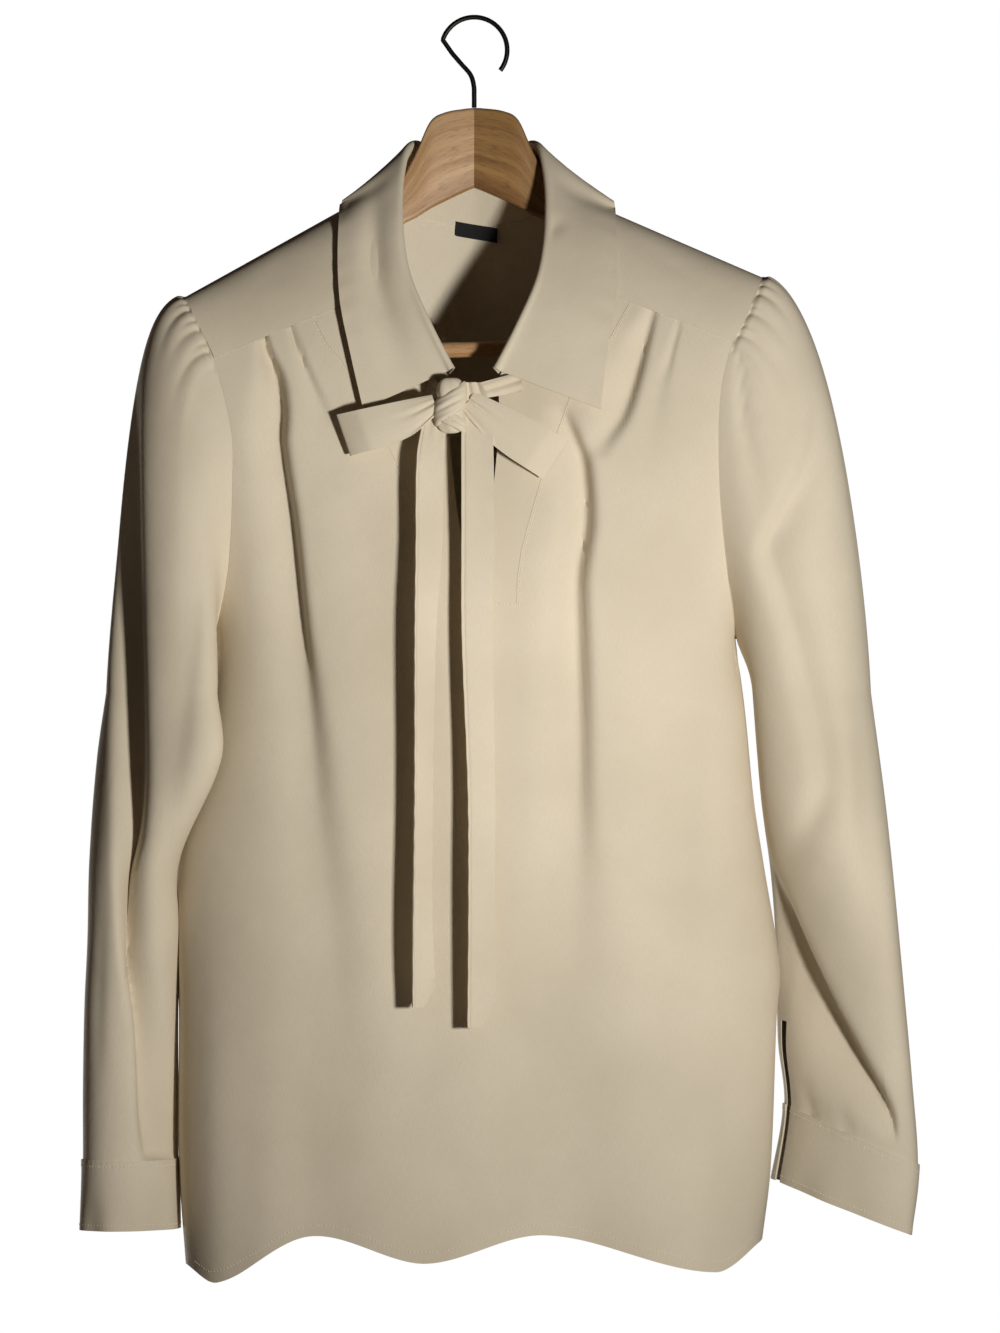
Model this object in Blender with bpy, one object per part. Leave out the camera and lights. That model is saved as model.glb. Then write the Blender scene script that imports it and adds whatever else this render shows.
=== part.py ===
"""Tie neck blouse hanging on a contoured wooden hanger.

The origin is the top of the hook's inside, where a rail carries it. +Z is up and the front faces -Y.
Left and right are the viewer's. Lengths in the tables are millimetres and MM turns them into metres.
"""
import math
from collections import namedtuple

import bmesh
import bpy
from mathutils import Vector

MM = 0.001

# Cloth walls and the room between them
WALL = 1.2
COLLAR_WALL = 1.6
TIE_WALL = 1.4
SEAM_ROOM = 0.9      # between the middle lines of two walls that meet at a seam
COVER_ROOM = 4.5     # between a panel and what lies on it

# Shoulders: the ridge that rests on the hanger
RIDGE_X = 87.0
RIDGE_Z = -126.0
FALL_LEFT = 0.575
FALL_RIGHT = 0.45
NECK_SIDE_X = 56.0
SHOULDER_X = 187.0

# Body depth about its middle plane, and how far the shoulders come forward
FRONT_DEPTH = 62.0
BACK_DEPTH = 38.0
DEPTH_RISE = 100.0
MIDDLE_Y = -22.0
BLEND_TOP_Z = -180.0
BLEND_LOW_Z = -420.0
OVAL_POWER = 2.6

# Seams of the front
YOKE_X = 89.0
YOKE_Z = {-1: -190.0, 1: -182.0}
YOKE_FALL = {-1: 0.42, 1: 0.385}
UNDERARM_Z = -405.0
SLIT_END_Z = -375.0
HEM_MEAN_Z = -803.0
HEM_FOLD = 0.45      # how far a fold moves back for each millimetre that its hem is raised

# Hanger
ARM_THICK = 11.0
ARM_END_X = 177.0
TILT = 0.023
BAR_RADIUS = 5.0
BAR_Z = -217.0
BAR_END_X = 152.2
WIRE_RADIUS = 1.6
HOOK_RADIUS = 20.0
ARM_EASE = 4.0       # eased edge of the plank

# Side edges of the body by height: armhole in front and behind, then the side seam,
# and the half width of the oval that the panels follow
Edge = namedtuple("Edge", "z front back oval")
EDGES = {
    -1: (Edge(-183.5, 187, 187, 250), Edge(-200, 178.5, 182, 240), Edge(-224, 168, 176, 228),
         Edge(-269, 157, 169, 203), Edge(-300, 156, 166, 192), Edge(-360, 159, 164, 176),
         Edge(-405, 168, 168, 168), Edge(-480, 176, 176, 176), Edge(-547, 193, 193, 193),
         Edge(-650, 192, 192, 192), Edge(-745, 192, 192, 192), Edge(-820, 187, 187, 187)),
    1: (Edge(-170.5, 187, 187, 250), Edge(-196, 175.5, 180, 240), Edge(-214, 167, 175, 228),
        Edge(-241, 160, 170, 212), Edge(-276, 158, 168, 200), Edge(-325, 160, 166, 186),
        Edge(-405, 170, 170, 170), Edge(-450, 176, 176, 176), Edge(-510, 182, 182, 182),
        Edge(-549, 188, 188, 188), Edge(-620, 199, 199, 199), Edge(-650, 197, 197, 197),
        Edge(-750, 193, 193, 193), Edge(-800, 187, 187, 187)),
}

# Front edge: half of the neckline, then half of the slit
NeckRow = namedtuple("NeckRow", "x z")
NECK_FRONT = (NeckRow(16, -236), NeckRow(28, -216), NeckRow(40, -194), NeckRow(50, -170))
NECK_MEET_X = 30.0                     # where the neckline starts to rise towards the yoke seam
NECK_BACK = (NeckRow(0, -133), NeckRow(28, -130), NeckRow(46, -121), NeckRow(56, -110.5))
SlitRow = namedtuple("SlitRow", "z half")
SLIT = (SlitRow(-376, 1), SlitRow(-360, 4), SlitRow(-320, 11), SlitRow(-270, 16), SlitRow(-236, 16))

# Hem height across the front, read from left to right
HemRow = namedtuple("HemRow", "x z")
HEM_FRONT = (HemRow(-187, -812), HemRow(-168, -822), HemRow(-105, -791), HemRow(-32, -808),
             HemRow(45, -790), HemRow(158, -815), HemRow(187, -796))
HEM_BACK = (HemRow(-187, -812), HemRow(-120, -800), HemRow(-40, -790), HemRow(60, -797),
            HemRow(120, -788), HemRow(187, -796))

# Folds pressed or hung into the front: a trough from one place to another
Fold = namedtuple("Fold", "x_top z_top x_low z_low depth inner outer")
FRONT_FOLDS = (
    Fold(-132, -210, -92, -640, 10, 17, 10),
    Fold(-115, -204, -99, -262, 4, 10, 7),
    Fold(116, -192, 66, -640, 13, 19, 12),
    Fold(133, -200, 117, -256, 4, 10, 7),
    Fold(-20, -430, -34, -760, 4, 30, 30),
    Fold(150, -330, 128, -640, 5, 20, 14),
)
BACK_FOLDS = (
    Fold(-70, -330, -95, -800, 8, 22, 14),
    Fold(30, -360, 50, -800, 7, 24, 16),
    Fold(118, -300, 125, -780, 8, 16, 20),
)

# Sleeve rings by height: outer and inner side in the front view, middle plane, half depth,
# how far the inner side leans back, how much it is raised and the turn of the underarm in degrees
Ring = namedtuple("Ring", "z outer inner y depth lean raised turn")
RINGS = {
    -1: (Ring(-440, 242, 166, -44, 30, -20, 0, -55), Ring(-482, 247, 163, -45, 29, -20, 0, -50),
         Ring(-550, 250, 199, -43, 30, -2, 0, -40), Ring(-600, 251, 198, -30, 32, 6, 0, -30),
         Ring(-645, 253, 196, -26, 33, 9, 0, -20), Ring(-700, 254, 194, -24, 33, 10, 0, -10),
         Ring(-744, 254, 193, -24, 31, 10, 0, 0), Ring(-789, 255, 192, -24, 30, 10, 0, 0)),
    1: (Ring(-440, 258, 181, -34, 32, -4, 0, -20), Ring(-510, 267, 187, -33, 34, 2, 0, -10),
        Ring(-560, 272, 194, -28, 34, 16, 0, 0), Ring(-620, 278, 198, -23, 33, 26, 6, 0),
        Ring(-680, 284, 199, -22, 31, 25, 12, 0), Ring(-728, 288, 203, -22, 27, 20, 19, 0),
        Ring(-775, 284, 196, -22, 26, 20, 17, 0)),
}
CUFF_TOP = {-1: -744.0, 1: -728.0}
CUFF_END = {-1: -789.0, 1: -775.0}
SLIT_PLACE = {-1: 0.885, 1: 0.055}     # turn fraction of the sleeve slit, front is a quarter
SLIT_TOP = {-1: -690.0, 1: -664.0}
SLIT_HALF = 0.014
CAP_REACH = 66.0                       # gathered length of the cap seam on each side of the shoulder
GATHERS = 11
GATHER_HEIGHT = 2.4
CAP_CENTRE = Vector((150.0, -44.0, -40.0))   # the gathers stand out from here, z counted from each point

# Large folds of the sleeves: a trough that runs round the ring as it goes down
SleeveFold = namedtuple("SleeveFold", "turn_top z_top turn_low z_low depth width")
SLEEVE_FOLDS = {
    -1: (SleeveFold(0.395, -225, 0.375, -700, 0.26, 0.050),
         SleeveFold(0.66, -300, 0.70, -640, 0.20, 0.06)),
    1: (SleeveFold(0.085, -545, 0.345, -722, 0.26, 0.050),
        SleeveFold(0.22, -320, 0.14, -520, 0.12, 0.050),
        SleeveFold(0.70, -300, 0.66, -640, 0.20, 0.06)),
}

# Half of the collar from the centre back to the front end: seam, roll and outer edge
CollarRow = namedtuple("CollarRow", "s seam_x seam_z roll_x roll_y roll_z edge_left edge_right edge_z")
COLLAR = (
    CollarRow(0.00, 0, -133, 0, 21, -92, 0, 0, -162),
    CollarRow(0.14, 27, -130, 25, 17, -88, 38, 38, -159),
    CollarRow(0.25, 46, -121, 37, 4, -80, 70, 72, -146),
    CollarRow(0.34, 56, -110.5, 44, -13, -87, 84, 89, -119.5),
    CollarRow(0.50, 55, -128, 47.5, -34, -122, 88, 92, -140),
    CollarRow(0.70, 50, -170, 43, -54, -167, 87, 92, -184),
    CollarRow(0.86, 34, -206, 28.5, -66, -203, 80, 86, -220),
    CollarRow(1.00, 17, -234, 14.5, -71, -231, 71.5, 82, -257),
)
RIDGE_S = 0.34
COLLAR_STEPS = 19
ROLL_RADIUS = 2.2

# The bow
KNOT = Vector((-15.0, -83.0, -255.0))
KNOT_SIZE = Vector((11.0, 7.5, 18.0))
BowRow = namedtuple("BowRow", "t x z half")
LOOP_LEFT = (BowRow(0.0, -27.4, -255, 7), BowRow(0.35, -46, -264, 12), BowRow(1.0, -84, -274, 14))
LOOP_OPEN = Vector((1.5, 4.8))              # half the room between a loop's layers: knot, middle
LOOP_RIGHT = (BowRow(0.0, -0.6, -253, 8), BowRow(0.35, 19, -269, 13), BowRow(1.0, 53, -290, 15))
TailRow = namedtuple("TailRow", "z x half turn")
TAIL_LEFT = (TailRow(-260, -25, 8, 0), TailRow(-292, -28.5, 9.5, -24), TailRow(-345, -29, 9.5, -35),
             TailRow(-398, -32, 9.5, -52), TailRow(-500, -32, 9.5, -56), TailRow(-590, -33, 9.5, -50),
             TailRow(-642, -32, 9, -30))
TAIL_RIGHT = (TailRow(-259, -3, 9, 0), TailRow(-285, 1.5, 10.5, -3), TailRow(-330, 2.5, 10.5, -8),
              TailRow(-400, 2, 10.5, -20), TailRow(-500, 4, 10.5, -38), TailRow(-560, 3, 10.5, -38),
              TailRow(-655, 5, 10.5, -25))
TIE_ROOM = 4.5
TIE_BACK_Y = KNOT.y + KNOT_SIZE.y - 0.05    # the tie's middle line behind the knot
TIP_RISE = 14.0                             # how far one corner of a tail's end is above the other
TieRow = namedtuple("TieRow", "t x z half")
TIE_NECK = {-1: (TieRow(0, -27, -242, 6), TieRow(1, -17.5, -248, 4.5)),
            1: (TieRow(0, 27, -242, 6), TieRow(1, -11, -248, 4.5))}
TIE_NECK_ROOM = 1.5

# Hanger arm outline by distance from the centre
ArmRow = namedtuple("ArmRow", "x top bottom")
ARM = (ArmRow(0.2, -58, -110), ArmRow(5, -58.3, -112), ArmRow(20, -61, -119), ArmRow(29, -67, -123.5),
       ArmRow(38, -87, -129), ArmRow(46, -103, -133), ArmRow(50, -115, -137),
       ArmRow(56, -120, -141), ArmRow(75, -125, -153), ArmRow(100, -137.5, -171),
       ArmRow(128, -151.5, -190), ArmRow(152.6, -164.5, -205), ArmRow(153, -164.7, -226),
       ArmRow(168, -172.5, -227), ArmRow(ARM_END_X, -178.5, -222))
HOOK_STEM = (Vector((0, 0, -57.6)), Vector((0, 0, -50)), Vector((-0.3, 0, -43)), Vector((-2.5, 0, -36)),
             Vector((-8.5, 0, -29)), Vector((-14.5, 0, -22)))


def hermite(start, start_slope, end, end_slope, t):
    """Cubic between two values with a slope at each."""
    return ((2 * t**3 - 3 * t**2 + 1) * start + (t**3 - 2 * t**2 + t) * start_slope
            + (3 * t**2 - 2 * t**3) * end + (t**3 - t**2) * end_slope)


def curve(table, key, column):
    """Smooth function through a table's column, held flat past both ends."""
    points = sorted((getattr(row, key), getattr(row, column)) for row in table)

    def value(x):
        if x <= points[0][0]:
            return points[0][1]
        if x >= points[-1][0]:
            return points[-1][1]
        i = next(n for n in range(1, len(points)) if x <= points[n][0])
        before, start, end = points[max(i - 2, 0)], points[i - 1], points[i]
        after = points[min(i + 1, len(points) - 1)]
        step = end[0] - start[0]
        start_slope = (end[1] - before[1]) / (end[0] - before[0]) * step
        end_slope = (after[1] - start[1]) / (after[0] - start[0]) * step
        return hermite(start[1], start_slope, end[1], end_slope, (x - start[0]) / step)

    return value


def mix(a, b, t):
    return a + (b - a) * t


def smooth_step(t):
    t = min(max(t, 0.0), 1.0)
    return t * t * (3 - 2 * t)


EDGE_FRONT = {side: curve(rows, "z", "front") for side, rows in EDGES.items()}
EDGE_BACK = {side: curve(rows, "z", "back") for side, rows in EDGES.items()}
OVAL = {side: curve(rows, "z", "oval") for side, rows in EDGES.items()}
NECK_FRONT_Z = curve(NECK_FRONT, "x", "z")
NECK_BACK_Z = curve(NECK_BACK, "x", "z")
SLIT_HALF_X = curve(SLIT, "z", "half")
HEM_FRONT_Z = curve(HEM_FRONT, "x", "z")
HEM_BACK_Z = curve(HEM_BACK, "x", "z")
SHOULDER_Z = {side: rows[0].z for side, rows in EDGES.items()}


def side_of(x):
    return -1 if x < 0 else 1


def ridge_z(x):
    """Height of the shoulder ridge."""
    share = smooth_step((x + 50) / 100)
    fall = mix(FALL_LEFT, FALL_RIGHT, share)
    return RIDGE_Z - fall * (abs(x) - RIDGE_X)


def shoulder_y(x):
    """The shoulders come forward, as the arms of the hanger do."""
    return -0.2 * (math.hypot(x, 20) - 20) - 0.00033 * x * x


def middle_y(x, z):
    share = smooth_step((z - BLEND_LOW_Z) / (BLEND_TOP_Z - BLEND_LOW_Z))
    return mix(MIDDLE_Y, shoulder_y(x), share)


def fullness(x, z):
    """Share of the body's depth that is reached at a place, none at the ridge and the side seams."""
    drop = max(ridge_z(x) - z, 0.0)
    across = min(abs(x) / OVAL[side_of(x)](z), 1.0)
    return math.sqrt(1 - math.exp(-drop / DEPTH_RISE)) * math.sqrt(1 - across**OVAL_POWER)


def fold_depth(folds, x, z):
    """Depth of all troughs at a place: each opens below its top and fades to its foot."""
    total = 0.0
    for fold in folds:
        t = min(max((fold.z_top - z) / (fold.z_top - fold.z_low), 0.0), 1.0)
        centre = mix(fold.x_top, fold.x_low, t**0.7)
        inward = (x - centre) * side_of(fold.x_top) < 0
        width = fold.inner if inward else fold.outer
        strength = (0.25 + 0.75 * smooth_step(t / 0.15)) * (1 - smooth_step(t))
        total += fold.depth * strength * math.exp(-((x - centre) / width)**2)
    return total


def side_gap(z):
    """Half the room between front and back where they meet below the armholes."""
    return SEAM_ROOM / 2 * smooth_step((UNDERARM_Z + 30 - z) / 25)


def plain_front_y(x, z):
    return middle_y(x, z) - FRONT_DEPTH * fullness(x, z) - side_gap(z)


def front_y(x, z):
    """Front panel: the oval, its hung waves and its folds."""
    waves = (HEM_FRONT_Z(x) - HEM_MEAN_Z) * HEM_FOLD * smooth_step((-480 - z) / 320)
    inside = 1 - min(abs(x) / OVAL[side_of(x)](z), 1.0)**6
    return plain_front_y(x, z) + (waves + fold_depth(FRONT_FOLDS, x, z)) * inside


def back_y(x, z):
    """Back panel: the oval, its hung waves and its folds."""
    waves = (HEM_MEAN_Z - HEM_BACK_Z(x)) * HEM_FOLD * smooth_step((-480 - z) / 320)
    inside = 1 - min(abs(x) / OVAL[side_of(x)](z), 1.0)**6
    plain = middle_y(x, z) + BACK_DEPTH * fullness(x, z) + side_gap(z)
    return plain + (waves - fold_depth(BACK_FOLDS, x, z)) * inside


def yoke_z(x):
    """Seam that lies forward of the shoulder."""
    side = side_of(x)
    return YOKE_Z[side] - YOKE_FALL[side] * (abs(x) - YOKE_X)


def front_top_z(x):
    if abs(x) < NECK_FRONT[-1].x:
        meeting = NECK_FRONT[-1]
        share = smooth_step((abs(x) - NECK_MEET_X) / (meeting.x - NECK_MEET_X))
        return NECK_FRONT_Z(abs(x)) + share * (yoke_z(meeting.x * side_of(x)) - meeting.z)
    return yoke_z(x)


def material(name, color, roughness, metallic=0.0):
    """Plain principled material."""
    made = bpy.data.materials.get(name) or bpy.data.materials.new(name)
    made.use_nodes = True
    shader = made.node_tree.nodes["Principled BSDF"]
    shader.inputs["Base Color"].default_value = (*color, 1.0)
    shader.inputs["Roughness"].default_value = roughness
    shader.inputs["Metallic"].default_value = metallic
    return made


def crepe():
    return material("beige_crepe", (0.58, 0.48, 0.34), 0.8)


def oak():
    return material("oiled_oak", (0.54, 0.32, 0.14), 0.5)


def add_object(name, mesh, surface):
    mesh.materials.append(surface)
    thing = bpy.data.objects.new(name, mesh)
    bpy.context.collection.objects.link(thing)
    mesh.shade_smooth()
    mesh.set_sharp_from_angle(angle=math.radians(50))
    return thing


def wall(name, rows, thickness, surface, ring=False, keep=None):
    """Closed wall around a grid of middle points: two skins and a rim along each free edge.

    rows holds the points in millimetres, ring joins each row's end to its start, and keep(row, column)
    says which cells are cloth.
    """
    count = len(rows[0])
    middle = bmesh.new()
    points = [[middle.verts.new(point * MM) for point in row] for row in rows]
    for j in range(len(rows) - 1):
        for i in range(count if ring else count - 1):
            if keep and not keep(j, i):
                continue
            k = (i + 1) % count
            middle.faces.new((points[j][i], points[j][k], points[j + 1][k], points[j + 1][i]))
    bmesh.ops.delete(middle, geom=[v for v in middle.verts if not v.link_faces], context="VERTS")
    bmesh.ops.triangulate(middle, faces=middle.faces)
    middle.normal_update()
    half = thickness / 2 * MM
    made = bmesh.new()
    outer = {v: made.verts.new(v.co + v.normal * half) for v in middle.verts}
    inner = {v: made.verts.new(v.co - v.normal * half) for v in middle.verts}
    for face in middle.faces:
        made.faces.new([outer[v] for v in face.verts])
        made.faces.new([inner[v] for v in reversed(face.verts)])
        for loop in face.loops:
            if loop.edge.is_boundary:
                a, b = loop.vert, loop.link_loop_next.vert
                made.faces.new((outer[b], outer[a], inner[a], inner[b]))
    mesh = bpy.data.meshes.new(name)
    made.to_mesh(mesh)
    middle.free()
    made.free()
    return add_object(name, mesh, surface)


def tube(name, path, radius, sides, surface):
    """Round bar along a path in the XZ plane, with flat ends."""
    rows = []
    for i, point in enumerate(path):
        ahead = path[min(i + 1, len(path) - 1)] - path[max(i - 1, 0)]
        across = Vector((0, 1, 0)).cross(ahead).normalized()
        turns = [2 * math.pi * n / sides for n in range(sides)]
        deep = Vector((0, 1, 0))
        rows.append([point + (across * math.cos(a) + deep * math.sin(a)) * radius for a in turns])
    return solid(name, rows, surface)


def solid(name, rows, surface):
    """Closed solid through rings of points, with a flat face on each end."""
    made = bmesh.new()
    rings = [[made.verts.new(point * MM) for point in row] for row in rows]
    for ring, following in zip(rings, rings[1:]):
        for i, start in enumerate(ring):
            k = (i + 1) % len(ring)
            made.faces.new((start, ring[k], following[k], following[i]))
    made.faces.new(list(reversed(rings[0])))
    made.faces.new(rings[-1])
    bmesh.ops.recalc_face_normals(made, faces=made.faces)
    mesh = bpy.data.meshes.new(name)
    made.to_mesh(mesh)
    made.free()
    return add_object(name, mesh, surface)


def spread(count, edge_share=0.45):
    """Places from 0 to 1 that lie closer together near 1, where a panel turns to its side seam."""
    steps = [i / count for i in range(count + 1)]
    return [mix(t, math.sin(math.pi / 2 * t), edge_share) for t in steps]


def front():
    """Front panel: columns fan out from the slit's edges, rows run from neck and yoke seams to the hem."""
    half = spread(19)
    columns = [(-1, u) for u in reversed(half)] + [(1, u) for u in half]
    slit_share = (SLIT_END_Z - front_top_z(16)) / (HEM_MEAN_Z - front_top_z(16))
    shares = [slit_share * (i / 6)**1.2 for i in range(7)]
    shares += [mix(slit_share, 1.0, (i + 1) / 9) for i in range(9)]

    def across(side, u, z):
        slit = SLIT_HALF_X(z)
        return side * mix(slit, EDGE_FRONT[side](z), u)

    rows = []
    for share in shares:
        row = []
        for side, u in columns:
            top = -230.0
            for _ in range(6):
                top = front_top_z(across(side, u, top)) - SEAM_ROOM / 2
            low = HEM_FRONT_Z(across(side, u, HEM_MEAN_Z))
            z = mix(top, low, share)
            x = across(side, u, z)
            row.append(Vector((x, front_y(x, z), z)))
        rows.append(row)
    centre = len(half) - 1
    return wall("front", rows[::-1], WALL, crepe(), keep=lambda j, i: i != centre or len(rows) - 2 - j >= 6)


def back():
    """Back panel, which runs on over each shoulder to the seam in front of it."""
    neck = [NECK_SIDE_X * t for t in (0, 0.3, 0.6, 0.82, 1)]
    outer = [mix(NECK_SIDE_X, SHOULDER_X, t) / SHOULDER_X for t in spread(10, 0.3)[1:]]
    half = [x / SHOULDER_X for x in neck] + outer
    columns = [(-1, u) for u in reversed(half[1:])] + [(1, u) for u in half]
    neck_share = NECK_SIDE_X / SHOULDER_X
    drops, strip = 13, 5
    rows = []
    for j in range(drops + 1):
        row = []
        for side, u in columns:
            x = side * u * SHOULDER_X
            top = NECK_BACK_Z(abs(x)) if u < neck_share - 0.001 else ridge_z(x)
            z = mix(HEM_BACK_Z(x), top, 1 - (1 - j / drops)**2.1)
            x = side * u * EDGE_BACK[side](z)
            row.append(Vector((x, back_y(x, z), z)))
        rows.append(row)
    for j in range(1, strip + 1):
        row = []
        w = j / strip
        for side, u in columns:
            share = max((u - neck_share) / (1 - neck_share), 0.0)
            out_z = mix(SHOULDER_Z[side], yoke_z(side * EDGE_FRONT[side](-215)) + SEAM_ROOM / 2, w * w)
            x = side * mix(mix(NECK_SIDE_X, NECK_FRONT[-1].x, w), EDGE_FRONT[side](out_z), share)
            top = ridge_z(side * mix(NECK_SIDE_X, SHOULDER_X, share))
            z = mix(top, yoke_z(x) + SEAM_ROOM / 2, w * w)
            row.append(Vector((x, plain_front_y(x, z), z)))
        rows.append(row)
    return wall("back", [row[::-1] for row in rows], WALL, crepe(),
                keep=lambda j, i: j < drops or abs(i - (len(half) - 1) + 0.5) > len(neck) - 1)


def armhole(side, turn):
    """Point of the armhole seam: turn 0 is the underarm, a quarter the front and a half the shoulder."""
    z = mix(UNDERARM_Z, SHOULDER_Z[side], (1 - math.cos(2 * math.pi * turn)) / 2)
    if turn < 0.5:
        x = side * EDGE_FRONT[side](z)
        return Vector((x, plain_front_y(x, z), z))
    x = side * EDGE_BACK[side](z)
    return Vector((x, middle_y(x, z) + BACK_DEPTH * fullness(x, z), z))


def ring_point(side, turn, z):
    """Point of the sleeve or cuff ring at a height."""
    value = {name: curve(RINGS[side], "z", name)(z) for name in Ring._fields[1:]}
    angle = 2 * math.pi * turn + math.radians(value["turn"])
    centre = Vector((side * (value["outer"] + value["inner"]) / 2, value["y"], z))
    half = (value["outer"] - value["inner"]) / 2
    shrink = 1.0
    for fold in SLEEVE_FOLDS[side]:
        t = (fold.z_top - z) / (fold.z_top - fold.z_low)
        if 0 < t < 1:
            offset = (turn - mix(fold.turn_top, fold.turn_low, t)) / fold.width
            shrink -= fold.depth * math.sin(math.pi * t**0.6)**0.7 * math.exp(-offset * offset)
    reach = Vector((-side * half * math.cos(angle), value["lean"] * math.cos(angle)
                    - value["depth"] * math.sin(angle), value["raised"] * math.cos(angle)))
    return centre + reach * shrink


def cap_rows(side):
    """Distance along the cap seam from the shoulder point, by turn."""
    half = 200
    points = [armhole(side, i / (2 * half)) for i in range(2 * half + 1)]
    lengths = [0.0]
    for start, end in zip(points, points[1:]):
        lengths.append(lengths[-1] + (end - start).length)
    return [CapRow(i / (2 * half), length - lengths[half]) for i, length in enumerate(lengths)]


CapRow = namedtuple("CapRow", "turn place")
CAP = {side: cap_rows(side) for side in EDGES}
CAP_AT = {side: curve(rows, "turn", "place") for side, rows in CAP.items()}
CAP_TURN = {side: curve(rows, "place", "turn") for side, rows in CAP.items()}


def sleeve_turns(side):
    """Column places round a sleeve: close together over the gathered cap, with a pair at the slit."""
    turn_at = CAP_TURN[side]
    cap = [turn_at(mix(-CAP_REACH, CAP_REACH, i / 34)) for i in range(35)]
    under = [mix(cap[-1], 1 + cap[0], i / 15) % 1.0 for i in range(1, 15)]
    place = SLIT_PLACE[side]
    turns = [t for t in cap + under if abs(t - place) > 2 * SLIT_HALF]
    return sorted(turns + [place - SLIT_HALF, place + SLIT_HALF])


def sleeve_point(side, turn, share):
    """Point between the armhole, share 0, and the first full ring, share 1."""
    start = armhole(side, turn)
    end = ring_point(side, turn, RINGS[side][0].z)
    topness = (1 - math.cos(2 * math.pi * turn)) / 2
    start.x += side * mix(2.4, 1.0, topness)
    forward = -34 * math.sin(2 * math.pi * turn)
    start_slope = Vector((side * mix(6, 135, topness), forward, mix(-30, -12, topness)))
    end_slope = Vector((side * mix(2, 10, topness), 0, mix(-35, -255, topness)))
    point = hermite(start, start_slope, end, end_slope, share)
    place = CAP_AT[side](turn) / CAP_REACH
    if abs(place) < 1:
        evenness = (1 - place**4) * (0.45 + 0.55 * smooth_step(abs(place) / 0.2))
        wave = math.cos(math.pi * GATHERS * place) * evenness
        fade = smooth_step(share / 0.06) * (1 - smooth_step(share / 0.34))
        outward = (point - Vector((side * CAP_CENTRE.x, CAP_CENTRE.y, point.z + CAP_CENTRE.z))).normalized()
        point += outward * wave * fade * GATHER_HEIGHT
    return point


def sleeve(side, name):
    """Sleeve tube from the gathered cap to the cuff seam, with its slit left open."""
    turns = sleeve_turns(side)
    shares = (0, 0.05, 0.12, 0.21, 0.33, 0.47, 0.64, 0.82)
    rows = [[sleeve_point(side, turn, share) for turn in turns] for share in shares]
    low = CUFF_TOP[side] + SEAM_ROOM / 2
    top = RINGS[side][0].z
    heights = [mix(top, SLIT_TOP[side], i / 5) for i in range(6)]
    heights += [mix(SLIT_TOP[side], low, i / 2) for i in (1, 2)]
    rows += [[ring_point(side, turn, z) for turn in turns] for z in heights]
    slit_row = len(shares) + 5
    slit_column = turns.index(SLIT_PLACE[side] - SLIT_HALF)
    rows = rows if side > 0 else [row[::-1] for row in rows]
    slit_column = slit_column if side > 0 else len(turns) - 2 - slit_column
    return wall(name, rows, WALL, crepe(), ring=True,
                keep=lambda j, i: i != slit_column or j < slit_row)


def cuff(side, name):
    """Open band below the sleeve, split where the sleeve's slit ends."""
    place = SLIT_PLACE[side]
    turns = [place + mix(SLIT_HALF, 1 - SLIT_HALF, i / 22) for i in range(23)]
    low = CUFF_END[side]
    heights = [mix(CUFF_TOP[side] - SEAM_ROOM / 2, low, i / 3) for i in range(4)]
    rows = [[ring_point(side, turn % 1.0, z) for turn in turns] for z in heights]
    return wall(name, rows if side > 0 else [row[::-1] for row in rows], WALL, crepe())


def collar():
    """Fall collar: each column rises from the neck seam to the roll and falls to the outer edge."""
    value = {name: curve(COLLAR, "s", name) for name in CollarRow._fields[1:]}
    columns = []
    for i in range(-COLLAR_STEPS, COLLAR_STEPS + 1):
        even = abs(i) / COLLAR_STEPS
        closer = math.sin(2 * math.pi * (even - RIDGE_S)) + math.sin(2 * math.pi * RIDGE_S)
        s = even - 0.4 * closer / (2 * math.pi)
        side = -1 if i < 0 else 1
        cover = COVER_ROOM * (1 - 2 * smooth_step((s - RIDGE_S + 0.05) / 0.1))
        seam_x, seam_z = side * value["seam_x"](s), value["seam_z"](s)
        behind = s < RIDGE_S
        seam_y = back_y(seam_x, seam_z) if behind else plain_front_y(seam_x, seam_z)
        roll = Vector((side * value["roll_x"](s), value["roll_y"](s), value["roll_z"](s)))
        seam = Vector((seam_x, seam_y, seam_z))
        seam += (roll - seam).normalized() * 2.4
        seam += Vector((-side * 1.7, 0, 0.8)) * smooth_step((s - RIDGE_S + 0.08) / 0.1)
        edge_x = side * value["edge_left" if side < 0 else "edge_right"](s)
        edge_z = value["edge_z"](s)
        edge_y = (back_y if behind else plain_front_y)(edge_x, edge_z) + cover
        edge = Vector((edge_x, edge_y, edge_z))
        before, after = ([value[f"roll_{axis}"](s + step) for axis in "xyz"] for step in (-0.01, 0.01))
        along = Vector(after) - Vector(before)
        along.x *= side
        crest = (roll - seam) - along * (roll - seam).dot(along) / along.length_squared
        crest.normalize()
        out = along.cross(crest).normalized()
        out = out if out.dot(edge - roll) > 0 else -out
        column = [seam, seam.lerp(roll - out * ROLL_RADIUS, 0.5), roll - crest * 1.6 - out * ROLL_RADIUS,
                  roll + crest * 0.8, roll - crest * 1.2 + out * ROLL_RADIUS]
        for t in (0.2, 0.4, 0.6, 0.8, 1.0):
            point = column[4].lerp(edge, t)
            if abs(point.y - shoulder_y(point.x)) < 6:
                point.z = max(point.z, ridge_z(point.x) + COVER_ROOM * 0.8)
            if point.z < ridge_z(point.x):
                if behind:
                    point.y = max(point.y, back_y(point.x, point.z) + cover)
                else:
                    point.y = min(point.y, plain_front_y(point.x, point.z) + cover)
            column.append(point)
        columns.append(column)
    rows = [list(row) for row in zip(*columns)]
    return wall("collar", rows, COLLAR_WALL, crepe())


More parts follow.
